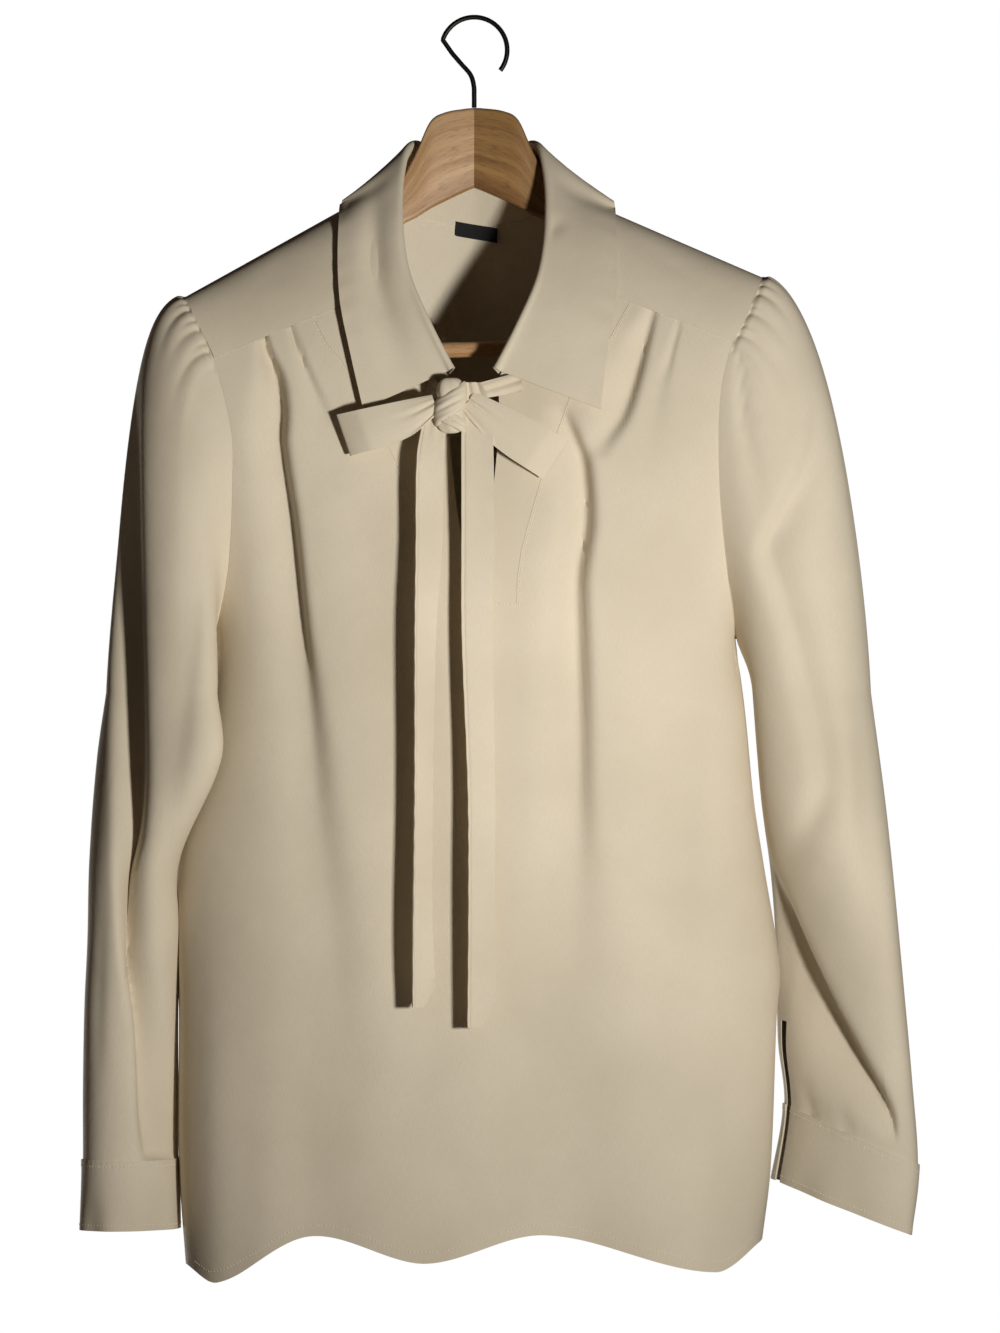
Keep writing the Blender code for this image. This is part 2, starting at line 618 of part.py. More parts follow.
def bow_loop(name, table):
    """Flattened loop: a band that leaves the knot behind, turns at its end and comes back in front."""
    x_at, z_at, half_at = (curve(table, "t", column) for column in ("x", "z", "half"))
    start, end = Vector((x_at(0), 0, z_at(0))), Vector((x_at(1), 0, z_at(1)))
    up = Vector((0, 1, 0)).cross(end - start).normalized()
    if up.z < 0:
        up = -up
    rows = []
    for i in range(15):
        turn = math.pi * i / 14
        t = 1 - abs(math.cos(turn))**1.4
        open_half = mix(LOOP_OPEN.x, LOOP_OPEN.y, math.sin(math.pi * t * 0.55))
        layer = math.cos(turn) / max(abs(math.cos(turn)), 0.35)
        centre = Vector((x_at(t), KNOT.y + 1.0 + open_half * layer, z_at(t)))
        rows.append([centre + up * half_at(t) * place for place in (-1, -0.5, 0, 0.5, 1)])
    inward = side_of(end.x - start.x) > 0
    return wall(name, rows if inward else [row[::-1] for row in rows], TIE_WALL, crepe())


def tie_tail(name, table):
    """Hanging end of the tie, turned about its length as it falls."""
    x_at, half_at, turn_at = (curve(table, "z", column) for column in ("x", "half", "turn"))
    top, low = table[0].z, table[-1].z
    rows = []
    for i in range(19):
        z = mix(top, low, i / 18)
        angle = math.radians(turn_at(z))
        clear = min(front_y(x_at(z) + shift, z) for shift in (-12, 0, 12))
        y = min(clear - TIE_ROOM - half_at(z) * abs(math.sin(angle)), TIE_BACK_Y)
        centre = Vector((x_at(z), y, z))
        across = Vector((math.cos(angle), -math.sin(angle), 0)) * half_at(z)
        tip = Vector((0, 0, TIP_RISE if i == 18 else 0))
        rows.append([centre + across * place + tip * max(place, 0) for place in (-1, -0.33, 0.33, 1)])
    return wall(name, rows[::-1], TIE_WALL, crepe())


def tie_knot():
    """Knot, a rounded lump drawn in across its middle."""
    rows = []
    for j in range(1, 10):
        polar = math.pi * j / 10
        waist = 1 - 0.12 * math.exp(-((polar - math.pi / 2) / 0.35)**2)
        row = []
        for i in range(14):
            angle = 2 * math.pi * i / 14
            ridge = 1 + 0.06 * math.cos(4 * angle + polar * 2)
            reach = math.sin(polar)**0.7 * waist * ridge
            offset = Vector((reach * math.cos(angle), reach * math.sin(angle), -math.cos(polar)))
            row.append(KNOT + offset * KNOT_SIZE)
        rows.append(row)
    return solid("tie_knot", rows, crepe())


def tie_neck(side, name):
    """Stretch of the tie between the front neck edge and the knot."""
    x_at, z_at, half_at = (curve(TIE_NECK[side], "t", column) for column in ("x", "z", "half"))
    rows = []
    for i in range(6):
        t = i / 5
        row = []
        for place in (-1, 0, 1):
            x, z = x_at(t), z_at(t) + place * half_at(t)
            y = mix(plain_front_y(abs(x), z) - TIE_NECK_ROOM, TIE_BACK_Y, smooth_step(t))
            row.append(Vector((x, y, z)))
        rows.append(row)
    return wall(name, rows if side < 0 else [row[::-1] for row in rows], TIE_WALL, crepe())


def neck_label():
    """Plain label that hangs from the back neck seam, inside."""
    rows = []
    for z in (-147.5, -141, -134.5):
        row = [Vector((x, back_y(x, z) - 2.2, z)) for x in (-12, -3, 6, 15)]
        rows.append(row)
    return wall("neck_label", rows, 0.8, material("label_black", (0.01, 0.01, 0.012), 0.7))


def arm_y(x):
    """Middle of the arms: straight at the mitre, then under the shoulder ridge."""
    return mix(-0.2 * abs(x), shoulder_y(x), smooth_step((abs(x) - 25) / 30))


def hanger_arm(side, name):
    """One arm, a plank with eased edges that comes forward; its flat inner end is the mitred joint."""
    rows = []
    for row in ARM:
        x = side * row.x
        top, bottom = row.top + TILT * x, row.bottom + TILT * x
        y = arm_y(x)
        half, ease = ARM_THICK / 2, ARM_EASE
        section = ((-half, bottom + ease), (-half, top - ease), (-half + ease, top), (half - ease, top),
                   (half, top - ease), (half, bottom + ease), (half - ease, bottom), (-half + ease, bottom))
        rows.append([Vector((x, y + dy, z)) for dy, z in section])
    return solid(name, rows, oak())


def hanger_bar():
    ends = [Vector((x, arm_y(BAR_END_X), BAR_Z + TILT * x)) for x in (-BAR_END_X, BAR_END_X)]
    return tube("hanger_bar", ends, BAR_RADIUS, 16, oak())


def hanger_hook():
    """Wire hook: a stem that leans left, then an arc over the rail."""
    centre = Vector((0, 0, -HOOK_RADIUS))
    reach = HOOK_RADIUS + WIRE_RADIUS
    arc = [math.radians(mix(162, -38, i / 16)) for i in range(17)]
    path = list(HOOK_STEM) + [centre + Vector((math.cos(a), 0, math.sin(a))) * reach for a in arc]
    return tube("hanger_hook", path, WIRE_RADIUS, 8, material("dark_wire", (0.05, 0.05, 0.05), 0.4, 1.0))


def main():
    for thing in list(bpy.data.objects):
        bpy.data.objects.remove(thing, do_unlink=True)
    front()
    back()
    for side, word in ((-1, "left"), (1, "right")):
        sleeve(side, f"sleeve_{word}")
        cuff(side, f"cuff_{word}")
        hanger_arm(side, f"hanger_arm_{word}")
        tie_neck(side, f"tie_neck_{word}")
    collar()
    tie_knot()
    bow_loop("bow_loop_left", LOOP_LEFT)
    bow_loop("bow_loop_right", LOOP_RIGHT)
    tie_tail("tie_tail_left", TAIL_LEFT)
    tie_tail("tie_tail_right", TAIL_RIGHT)
    neck_label()
    hanger_bar()
    hanger_hook()


main()
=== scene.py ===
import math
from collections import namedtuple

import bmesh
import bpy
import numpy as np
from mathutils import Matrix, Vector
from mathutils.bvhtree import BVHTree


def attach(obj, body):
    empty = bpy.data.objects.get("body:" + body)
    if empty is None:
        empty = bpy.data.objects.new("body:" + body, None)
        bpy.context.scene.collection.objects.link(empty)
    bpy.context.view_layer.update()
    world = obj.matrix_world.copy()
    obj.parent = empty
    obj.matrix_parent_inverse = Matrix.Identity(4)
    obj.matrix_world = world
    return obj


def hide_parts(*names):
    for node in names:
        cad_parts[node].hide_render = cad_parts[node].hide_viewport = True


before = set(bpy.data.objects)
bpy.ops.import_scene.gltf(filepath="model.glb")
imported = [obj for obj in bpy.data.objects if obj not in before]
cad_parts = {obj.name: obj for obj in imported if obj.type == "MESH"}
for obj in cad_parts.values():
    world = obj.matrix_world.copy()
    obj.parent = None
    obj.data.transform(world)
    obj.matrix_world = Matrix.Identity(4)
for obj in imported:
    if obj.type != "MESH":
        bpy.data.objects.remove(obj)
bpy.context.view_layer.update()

# %% [markdown]
# # A tie neck blouse on a wooden hanger
#
# The object is a beige crepe blouse: front, back cut on over the shoulders, gathered sleeves with
# cuffs, a pointed collar and a tied bow. It hangs on an oak hanger. Every panel here is a thin
# shell on the form of its imported solid. It gets the finer folds, creases, stitches and finish
# that a plain solid leaves out. A cloth simulation could drape the panels, but the folds have to
# lie where the real ones do, so they are placed from short tables.
#
# Lengths in the tables are millimetres. Left and right are the viewer's. The front faces -Y.

MM = 0.001

# %% [markdown]
# ## Camera, floor and light
#
# The blouse is seen from straight in front, from far enough away that it hardly narrows with
# depth. A long lens would do the same, and the distance is what sets the perspective. The light
# is one small soft box from the right, a little low, with a weak warm fill: that is what gives
# the crisp dark shadows to the left of the collar and the tails. A soft box behind lights only
# what faces away from the camera.

# %% Camera
VIEW_CENTRE = Vector((0.0169, -0.034, -0.4231))
VIEW_DISTANCE = 5.5
VIEW_HEIGHT = 0.8665      # metres of the object from the picture's top to its bottom


def placed(name, data):
    """New object in the scene."""
    thing = bpy.data.objects.new(name, data)
    bpy.context.collection.objects.link(thing)
    return thing


camera_data = bpy.data.cameras.new("camera")
camera_data.sensor_fit = "VERTICAL"
camera_data.sensor_height = 24.0
camera_data.sensor_width = 24.0
camera_data.lens = camera_data.sensor_height / VIEW_HEIGHT * VIEW_DISTANCE
camera = placed("camera", camera_data)
camera.location = VIEW_CENTRE + Vector((0, -VIEW_DISTANCE, 0))
camera.rotation_euler = (math.pi / 2, 0, 0)
bpy.context.scene.camera = camera


# %% A small function that adds a node
def node(tree, kind, inputs=(), **settings):
    """Adds a node, with its settings, and sets or links its inputs by name or number."""
    made = tree.nodes.new(kind)
    for name, value in settings.items():
        setattr(made, name, value)
    for name, value in dict(inputs).items():
        socket = made.inputs[name]
        if isinstance(value, bpy.types.NodeSocket):
            tree.links.new(value, socket)
        else:
            socket.default_value = value
    return made


def linear(hex_color):
    """Linear colour of an sRGB hex value."""
    def channel(value):
        return value / 12.92 if value <= 0.04045 else ((value + 0.055) / 1.055) ** 2.4
    return tuple(channel(int(hex_color[i:i + 2], 16) / 255) for i in (1, 3, 5)) + (1.0,)


# %% Light, floor and background
FLOOR_Z, FLOOR_RADIUS, FLOOR_CORNERS = -1.6, 3.0, 64
KEY_TURN = math.radians(26)
KEY_RISE = math.radians(-8)
KEY_AIM = Vector((0.0, -0.05, -0.36))
KEY_WAY = Vector((math.sin(KEY_TURN) * math.cos(KEY_RISE), -math.cos(KEY_TURN) * math.cos(KEY_RISE),
                  math.sin(KEY_RISE)))
FILL_WAY = Vector((-0.8, -0.8, 0.2)).normalized()
REAR_WAY = Vector((-0.5, 1.0, -0.25)).normalized()


def soft_box(name, size, energy, color, aim, way, distance):
    """Square light that stands some way off its aim and looks at it."""
    data = bpy.data.lights.new(name, "AREA")
    data.shape = "SQUARE"
    data.size, data.energy, data.color = size, energy, linear(color)[:3]
    lamp = placed(name, data)
    lamp.location = aim + way * distance
    lamp.rotation_euler = way.to_track_quat("Z", "Y").to_euler()
    return data


key_data = soft_box("key_softbox", 0.13, 4.6, "#FFFDF9", KEY_AIM, KEY_WAY, 1.5)
key_data.spread = math.radians(85)
soft_box("fill_softbox", 2.0, 1.5, "#FFDDC4", VIEW_CENTRE, FILL_WAY, 3.0)
soft_box("rear_softbox", 1.5, 42.0, "#FFFFFF", VIEW_CENTRE, REAR_WAY, 2.6)

world = bpy.data.worlds.new("studio")
bpy.context.scene.world = world
world.use_nodes = True
tree = world.node_tree
tree.nodes.clear()
seen_side = node(tree, "ShaderNodeBackground", {"Color": linear("#FFFFFF"), "Strength": 1.0})
light_side = node(tree, "ShaderNodeBackground", {"Color": linear("#F0D6BE"), "Strength": 0.022})
path = node(tree, "ShaderNodeLightPath")
both = node(tree, "ShaderNodeMixShader", {0: path.outputs["Is Camera Ray"], 1: light_side.outputs[0],
                                          2: seen_side.outputs[0]})
node(tree, "ShaderNodeOutputWorld", {"Surface": both.outputs[0]})

floor_mesh = bpy.data.meshes.new("floor")
floor_turns = [2 * math.pi * i / FLOOR_CORNERS for i in range(FLOOR_CORNERS)]
floor_rim = [(FLOOR_RADIUS * math.cos(a), FLOOR_RADIUS * math.sin(a), FLOOR_Z) for a in floor_turns]
floor_mesh.from_pydata(floor_rim, [], [tuple(range(FLOOR_CORNERS))])
floor = placed("floor", floor_mesh)
floor_paint = bpy.data.materials.new("pale_matt_floor_paint")
floor_paint.use_nodes = True
floor_shader = floor_paint.node_tree.nodes["Principled BSDF"]
floor_shader.inputs["Base Color"].default_value = linear("#EDEDEB")
floor_shader.inputs["Roughness"].default_value = 0.9
floor_mesh.materials.append(floor_paint)
bpy.context.scene.view_settings.view_transform = "Standard"
print("camera", tuple(round(v, 3) for v in camera.location), "lens", round(camera_data.lens, 1))

# %% [markdown]
# ## Finishes
#
# Crepe is woven from hard-twisted polyester threads. The twist crinkles them, so the cloth has a
# fine matt pebble in place of a clear weave, with a soft sheen on slopes. A noise texture on the
# cloth's own UV map, which is in metres, follows the panel as the real pebble does. A weave of
# crossing waves would look too regular.

# %% Cloth, thread and label
PEBBLE = 0.9          # mm, drawn about twice as coarse as the real pebble, or the picture loses it
THREAD = 0.35         # mm between threads, drawn as coarse as the pebble needs
CRUMPLE = 28.0        # mm across one soft unevenness
PATCH = 90.0          # mm across one patch of slightly other colour
FLECK_SHADE = 0.72    # how dark a fleck of a plain finish is beside its own colour


def per_metre(millimetres):
    """Texture scale that makes one cell this many millimetres wide."""
    return 1.0 / (millimetres * MM)


def new_material(name):
    made = bpy.data.materials.new(name)
    made.use_nodes = True
    made.node_tree.nodes.clear()
    return made, made.node_tree


def noise(tree, place, scale, detail, **more):
    """Noise at a place, with its scale and detail and any other inputs by name."""
    made = node(tree, "ShaderNodeTexNoise", {"Vector": place, "Scale": scale, "Detail": detail, **more})
    return made.outputs[0]


def stretched(tree, place, along, across):
    """Texture place whose cells are so many millimetres long and wide."""
    scale = (per_metre(along), per_metre(across), 1.0)
    return node(tree, "ShaderNodeMapping", {"Vector": place, "Scale": scale}).outputs["Vector"]


def two_tones(tree, share, *stops):
    """Colour between two stops, each a position and a colour."""
    made = node(tree, "ShaderNodeValToRGB", {"Fac": share})
    for stop, (position, color) in zip(made.color_ramp.elements, stops):
        stop.position, stop.color = position, color
    return made.outputs["Color"]


def bumped(tree, height, strength, depth, **more):
    made = node(tree, "ShaderNodeBump", {"Height": height, "Strength": strength, "Distance": depth, **more})
    return made.outputs["Normal"]


def surface(tree, inputs):
    shader = node(tree, "ShaderNodeBsdfPrincipled", inputs)
    node(tree, "ShaderNodeOutputMaterial", {"Surface": shader.outputs[0]})


def crepe(name, light_hex, dark_hex, pebble_depth=0.00016):
    """Polyester crepe: matt, finely pebbled, a little uneven in colour where it was pressed."""
    made, tree = new_material(name)
    place = node(tree, "ShaderNodeTexCoord").outputs["Object"]
    flat = node(tree, "ShaderNodeUVMap", uv_map="UVMap").outputs["UV"]
    patch = noise(tree, place, per_metre(PATCH), 3.0)
    pebble = noise(tree, flat, per_metre(PEBBLE), 2.0)
    slub = noise(tree, stretched(tree, flat, THREAD, THREAD * 14), 1.0, 1.0)
    grain = node(tree, "ShaderNodeMath", {0: pebble, 1: slub}, operation="ADD").outputs[0]
    shade = node(tree, "ShaderNodeMapRange", {0: grain, 1: 0.6, 2: 1.4, 3: 0.32, 4: 0.68})
    tone = node(tree, "ShaderNodeMath", {0: patch, 1: shade.outputs[0]}, operation="MULTIPLY")
    color = two_tones(tree, tone.outputs[0], (0.12, linear(dark_hex)), (0.38, linear(light_hex)))
    soft = bumped(tree, noise(tree, place, per_metre(CRUMPLE), 2.0), 0.35, 0.0016)
    fine = bumped(tree, grain, 0.5, pebble_depth, Normal=soft)
    surface(tree, {"Base Color": color, "Roughness": 0.86, "Specular IOR Level": 0.25,
                   "Sheen Weight": 0.12, "Sheen Roughness": 0.5, "Sheen Tint": linear("#F4EBDC"),
                   "Normal": fine})
    return made


def plain_finish(name, hex_color, roughness, metallic=0.0, grain=0.6, depth=0.00008):
    """One colour that a fine grain makes a little uneven."""
    made, tree = new_material(name)
    place = node(tree, "ShaderNodeTexCoord").outputs["Object"]
    fleck = noise(tree, place, per_metre(grain), 2.0)
    light = linear(hex_color)
    dark = tuple(v * FLECK_SHADE for v in light[:3]) + (1.0,)
    surface(tree, {"Base Color": two_tones(tree, fleck, (0.3, dark), (0.7, light)), "Roughness": roughness,
                   "Metallic": metallic, "Normal": bumped(tree, fleck, 0.5, depth)})
    return made


CREPE = crepe("polyester_crepe_beige_matt", "#DACEB8", "#CCC0A9")
THREAD_FINISH = plain_finish("polyester_sewing_thread_beige", "#EFE4CC", 0.6)
LABEL_FINISH = plain_finish("woven_satin_label_black", "#08080A", 0.85, grain=0.5)
WIRE_FINISH = plain_finish("black_oxide_steel_wire", "#2B2927", 0.42, metallic=0.85, grain=1.5)

# %% [markdown]
# Oak has long pale and brown streaks, because the growth rings are cut along their length, and
# short darker pores in them. Both follow the plank, so the grain reads the UV map: U runs along
# the arm and V across it. The wood was sanded and oiled, which gives a satin surface.

# %% Oak
def oak(name, light_hex, dark_hex):
    made, tree = new_material(name)
    flat = node(tree, "ShaderNodeUVMap", uv_map="UVMap").outputs["UV"]
    streak = noise(tree, stretched(tree, flat, 160, 9), 1.0, 5.0, Roughness=0.62, Distortion=0.4)
    pore = noise(tree, stretched(tree, flat, 9, 0.7), 1.0, 2.0)
    board = two_tones(tree, streak, (0.36, linear(dark_hex)), (0.62, linear(light_hex)))
    pit = node(tree, "ShaderNodeMapRange", {0: pore, 1: 0.33, 2: 0.44, 3: 0.62, 4: 1.0}).outputs[0]
    color = node(tree, "ShaderNodeMix", {0: 1.0, 6: board, 7: pit}, data_type="RGBA", blend_type="MULTIPLY")
    surface(tree, {"Base Color": color.outputs[2], "Roughness": 0.48,
                   "Normal": bumped(tree, pit, 0.4, 0.00015)})
    return made


# The right arm's oak is drawn darker than the left's. That is painted shade: it stands for the right arm
# facing away from the key light.
OAK = {-1: oak("oak_sanded_oiled", "#CDA77B", "#A57A4C"),
       1: oak("oak_sanded_oiled_painted_shade", "#A9824F", "#7D5730")}
print("finishes", [m.name for m in bpy.data.materials])

# %% [markdown]
# ## The shape that the panels follow
#
# The cloth hangs from the shoulder ridge as a flat oval: nothing at the ridge and the side seams,
# deepest in the middle. A formula from a few named sizes gives every panel the same form, so
# that seams meet. Sculpting by hand would need each seam matched by eye.

# %% Sizes and tables
RIDGE_X, RIDGE_Z, FALL_LEFT, FALL_RIGHT = 87.0, -126.0, 0.575, 0.45
NECK_SIDE_X, SHOULDER_X = 56.0, 187.0
FRONT_DEPTH, BACK_DEPTH, DEPTH_RISE, MIDDLE_Y = 62.0, 38.0, 100.0, -22.0
BLEND_TOP_Z, BLEND_LOW_Z, OVAL_POWER = -180.0, -420.0, 2.6
YOKE_X = 89.0
YOKE_Z = {-1: -190.0, 1: -182.0}
YOKE_FALL = {-1: 0.42, 1: 0.385}
UNDERARM_Z, SLIT_END_Z, HEM_MEAN_Z, HEM_FOLD = -405.0, -375.0, -803.0, 0.45
WAVE_TOP_Z, WAVE_DROP = -480.0, 320.0     # the hem's waves start here and are full this much lower
CLOTH = 0.5           # mm, thickness of one layer of crepe as drawn

Edge = namedtuple("Edge", "z front back oval")
EDGES = {
    -1: (Edge(-183.5, 187, 187, 250), Edge(-200, 178.5, 182, 240), Edge(-224, 168, 176, 228),
         Edge(-269, 157, 169, 203), Edge(-300, 156, 166, 192), Edge(-360, 159, 164, 176),
         Edge(-405, 168, 168, 168), Edge(-480, 176, 176, 176), Edge(-547, 193, 193, 193),
         Edge(-650, 192, 192, 192), Edge(-745, 192, 192, 192), Edge(-820, 187, 187, 187)),
    1: (Edge(-170.5, 187, 187, 250), Edge(-196, 175.5, 180, 240), Edge(-214, 167, 175, 228),
        Edge(-241, 160, 170, 212), Edge(-276, 158, 168, 200), Edge(-325, 160, 166, 186),
        Edge(-405, 170, 170, 170), Edge(-450, 176, 176, 176), Edge(-510, 182, 182, 182),
        Edge(-549, 188, 188, 188), Edge(-620, 199, 199, 199), Edge(-650, 197, 197, 197),
        Edge(-750, 193, 193, 193), Edge(-800, 187, 187, 187)),
}
Neck = namedtuple("Neck", "x z")
NECK_FRONT = (Neck(16, -236), Neck(28, -216), Neck(40, -194), Neck(50, -170))
NECK_MEET_X = 30.0
NECK_BACK = (Neck(0, -133), Neck(28, -130), Neck(46, -121), Neck(56, -110.5))
Slit = namedtuple("Slit", "z half")
SLIT = (Slit(-376, 0.4), Slit(-360, 4), Slit(-320, 11), Slit(-270, 16), Slit(-236, 16))
Hem = namedtuple("Hem", "x z")
HEM_FRONT = (Hem(-187, -812), Hem(-168, -822), Hem(-105, -791), Hem(-32, -808),
             Hem(45, -790), Hem(158, -815), Hem(187, -796))
HEM_BACK = (Hem(-187, -812), Hem(-120, -790), Hem(-40, -783), Hem(60, -785),
            Hem(120, -786), Hem(187, -796))


# %% Smooth curves through a table
def curve(table, key, column, samples=1500):
    """Smooth function through a table's column, held flat past both ends."""
    points = sorted((getattr(row, key), getattr(row, column)) for row in table)
    knots, heights = (np.array(side, float) for side in zip(*points))
    slopes = np.empty(len(knots))
    for i in range(len(knots)):
        low, high = max(i - 1, 0), min(i + 1, len(knots) - 1)
        slopes[i] = (heights[high] - heights[low]) / (knots[high] - knots[low])
    places = np.linspace(knots[0], knots[-1], samples)
    i = np.clip(np.searchsorted(knots, places) - 1, 0, len(knots) - 2)
    step = knots[i + 1] - knots[i]
    t = (places - knots[i]) / step
    values = hermite(heights[i], slopes[i] * step, heights[i + 1], slopes[i + 1] * step, t)
    return lambda x: np.interp(x, places, values)


def hermite(start, start_slope, end, end_slope, t):
    """Cubic between two values with a slope at each."""
    return ((2 * t**3 - 3 * t**2 + 1) * start + (t**3 - 2 * t**2 + t) * start_slope
            + (3 * t**2 - 2 * t**3) * end + (t**3 - t**2) * end_slope)


def mix(a, b, t):
    return a + (b - a) * t


def smooth_step(t):
    t = np.clip(t, 0.0, 1.0)
    return t * t * (3 - 2 * t)


def by_side(tables, x, z):
    """Value of the left or the right table at a height."""
    return np.where(np.asarray(x) < 0, tables[-1](z), tables[1](z))


EDGE_FRONT, EDGE_BACK, OVAL = ({side: curve(rows, "z", name) for side, rows in EDGES.items()}
                               for name in ("front", "back", "oval"))
NECK_FRONT_Z, NECK_BACK_Z = curve(NECK_FRONT, "x", "z"), curve(NECK_BACK, "x", "z")
SLIT_HALF_X = curve(SLIT, "z", "half")
HEM_FRONT_Z, HEM_BACK_Z = curve(HEM_FRONT, "x", "z"), curve(HEM_BACK, "x", "z")
SHOULDER_Z = {side: rows[0].z for side, rows in EDGES.items()}


# %% Heights and depths of the body
def ridge_z(x):
    """Height of the shoulder ridge."""
    fall = mix(FALL_LEFT, FALL_RIGHT, smooth_step((x + 50) / 100))
    return RIDGE_Z - fall * (np.abs(x) - RIDGE_X)


def shoulder_y(x):
    """The shoulders come forward, as the arms of the hanger do."""
    return -0.2 * (np.hypot(x, 20) - 20) - 0.00033 * x * x


def middle_y(x, z):
    return mix(MIDDLE_Y, shoulder_y(x), smooth_step((z - BLEND_LOW_Z) / (BLEND_TOP_Z - BLEND_LOW_Z)))


def fullness(x, z):
    """Share of the body's depth that is reached, none at the ridge and the side seams."""
    drop = np.maximum(ridge_z(x) - z, 0.0)
    across = np.minimum(np.abs(x) / by_side(OVAL, x, z), 1.0)
    return np.sqrt(1 - np.exp(-drop / DEPTH_RISE)) * np.sqrt(1 - across**OVAL_POWER)


def inside_share(x, z):
    """One over the panel, fading to none at its side seams."""
    return 1 - np.minimum(np.abs(x) / by_side(OVAL, x, z), 1.0)**6


def front_y(x, z):
    waves = (HEM_FRONT_Z(x) - HEM_MEAN_Z) * HEM_FOLD * smooth_step((WAVE_TOP_Z - z) / WAVE_DROP)
    return middle_y(x, z) - FRONT_DEPTH * fullness(x, z) + waves * inside_share(x, z)


def back_y(x, z):
    waves = (HEM_MEAN_Z - HEM_BACK_Z(x)) * HEM_FOLD * smooth_step((WAVE_TOP_Z - z) / WAVE_DROP)
    return middle_y(x, z) + BACK_DEPTH * fullness(x, z) + waves * inside_share(x, z)


def yoke_z(x):
    """Seam that lies forward of the shoulder."""
    side = np.where(np.asarray(x) < 0, -1, 1)
    level = np.where(side < 0, YOKE_Z[-1], YOKE_Z[1])
    fall = np.where(side < 0, YOKE_FALL[-1], YOKE_FALL[1])
    return level - fall * (np.abs(x) - YOKE_X)


def front_top_z(x):
    meeting = NECK_FRONT[-1]
    far = np.abs(x)
    share = smooth_step((far - NECK_MEET_X) / (meeting.x - NECK_MEET_X))
    yoke_at_neck = yoke_z(meeting.x * np.where(np.asarray(x) < 0, -1, 1))
    neck = NECK_FRONT_Z(far) + share * (yoke_at_neck - meeting.z)
    return np.where(far < meeting.x, neck, yoke_z(x))


print("body depth at the bust", round(float(back_y(0, -420) - front_y(0, -420)), 1), "mm")

# %% [markdown]
# ## From a grid of points to a cloth shell
#
# Real cloth is one thin layer with two faces and a cut or folded edge. Here a panel starts as a
# grid of middle points. Its folds are pressed in along the cloth's normals, and the shell gets
# two skins and a rim. Solidify could do the same, but building the rim by hand keeps slits open.


# %% Shell builder
def normals_of(grid, ring=False):
    """Unit normal of a grid of points at each point, from its neighbours."""
    if ring:
        along = np.roll(grid, -1, axis=1) - np.roll(grid, 1, axis=1)
    else:
        along = np.gradient(grid, axis=1)
    down = np.gradient(grid, axis=0)
    normal = np.cross(along, down)
    return normal / np.maximum(np.linalg.norm(normal, axis=2, keepdims=True), 1e-9)


def turned_out(grid, ring, outward):
    """Normals of a grid, on the side that outward says."""
    normal = normals_of(grid, ring)
    return normal if (normal * outward).sum() > 0 else -normal


def flat_lengths(grid):
    """Distances along the rows and columns of a grid in metres, for the UV map."""
    across = np.linalg.norm(np.diff(grid, axis=1), axis=2)
    down = np.linalg.norm(np.diff(grid, axis=0), axis=2)
    u = np.concatenate([np.zeros((len(grid), 1)), np.cumsum(across, axis=1)], axis=1)
    v = np.concatenate([np.zeros((1, grid.shape[1])), np.cumsum(down, axis=0)], axis=0)
    return (u - u[:, u.shape[1] // 2:u.shape[1] // 2 + 1]) * MM, -v * MM


def shell(name, grid, finish, thickness=CLOTH, ring=False, kept=None, outward=(0, -1, 0), sharp=60):
    """Closed shell round a grid of middle points in millimetres, with a UV map in metres."""
    rows, columns = grid.shape[:2]
    normal = turned_out(grid, ring, np.array(outward))
    flip = (normal * normals_of(grid, ring)).sum() < 0
    skins = (grid + normal * thickness / 2, grid - normal * thickness / 2)
    u, v = flat_lengths(grid)
    end_u = np.linalg.norm(grid[:, -1] - grid[:, 0], axis=1) * MM + u[:, -1] if ring else None
    cells = np.ones((rows - 1, columns if ring else columns - 1), bool) if kept is None else kept
    size = rows * columns
    faces, uvs = [], []

    def corner(j, i):
        return j * columns + i % columns

    def texture(j, i):
        return (end_u[j], v[j, 0]) if ring and i == columns else (u[j, i % columns], v[j, i % columns])

    def place_face(points, offsets):
        faces.append([corner(j, i) + offset for (j, i), offset in zip(points, offsets)])
        uvs.extend(texture(j, i) for j, i in points)

    for j, i in zip(*np.nonzero(cells)):
        quad = [(j, i), (j, i + 1), (j + 1, i + 1), (j + 1, i)]
        quad = quad[::-1] if not flip else quad
        quad = [(int(a), int(b)) for a, b in quad]
        place_face(quad, (0,) * 4)
        place_face(quad[::-1], (size,) * 4)
    sides = {(a, b): True for face in faces[::2] for a, b in zip(face, face[1:] + face[:1])}
    for a, b in list(sides):
        if (b, a) not in sides:
            places = [divmod(a, columns), divmod(b, columns)]
            places = [places[0], places[1], places[1], places[0]]
            faces.append([b, a, a + size, b + size])
            uvs.extend((u[p], v[p]) for p in (places[1], places[0], places[0], places[1]))
    points = np.concatenate([skin.reshape(-1, 3) for skin in skins]) * MM
    used = np.unique(np.concatenate([np.array(f) for f in faces]))
    number = np.full(len(points), -1)
    number[used] = np.arange(len(used))
    mesh = bpy.data.meshes.new(name)
    mesh.from_pydata(points[used].tolist(), [], [[int(number[k]) for k in f] for f in faces])
    layer = mesh.uv_layers.new(name="UVMap")
    layer.data.foreach_set("uv", np.array(uvs, np.float32).ravel())
    return finished(name, mesh, finish, sharp)


def finished(name, mesh, finish, sharp=None):
    """Object of a smooth mesh, with sharp edges where faces meet at more than so many degrees."""
    mesh.materials.append(finish)
    mesh.shade_smooth()
    if sharp:
        mesh.set_sharp_from_angle(angle=math.radians(sharp))
    return placed(name, mesh)


# %% Folds
Crease = namedtuple("Crease", "place depth before after")


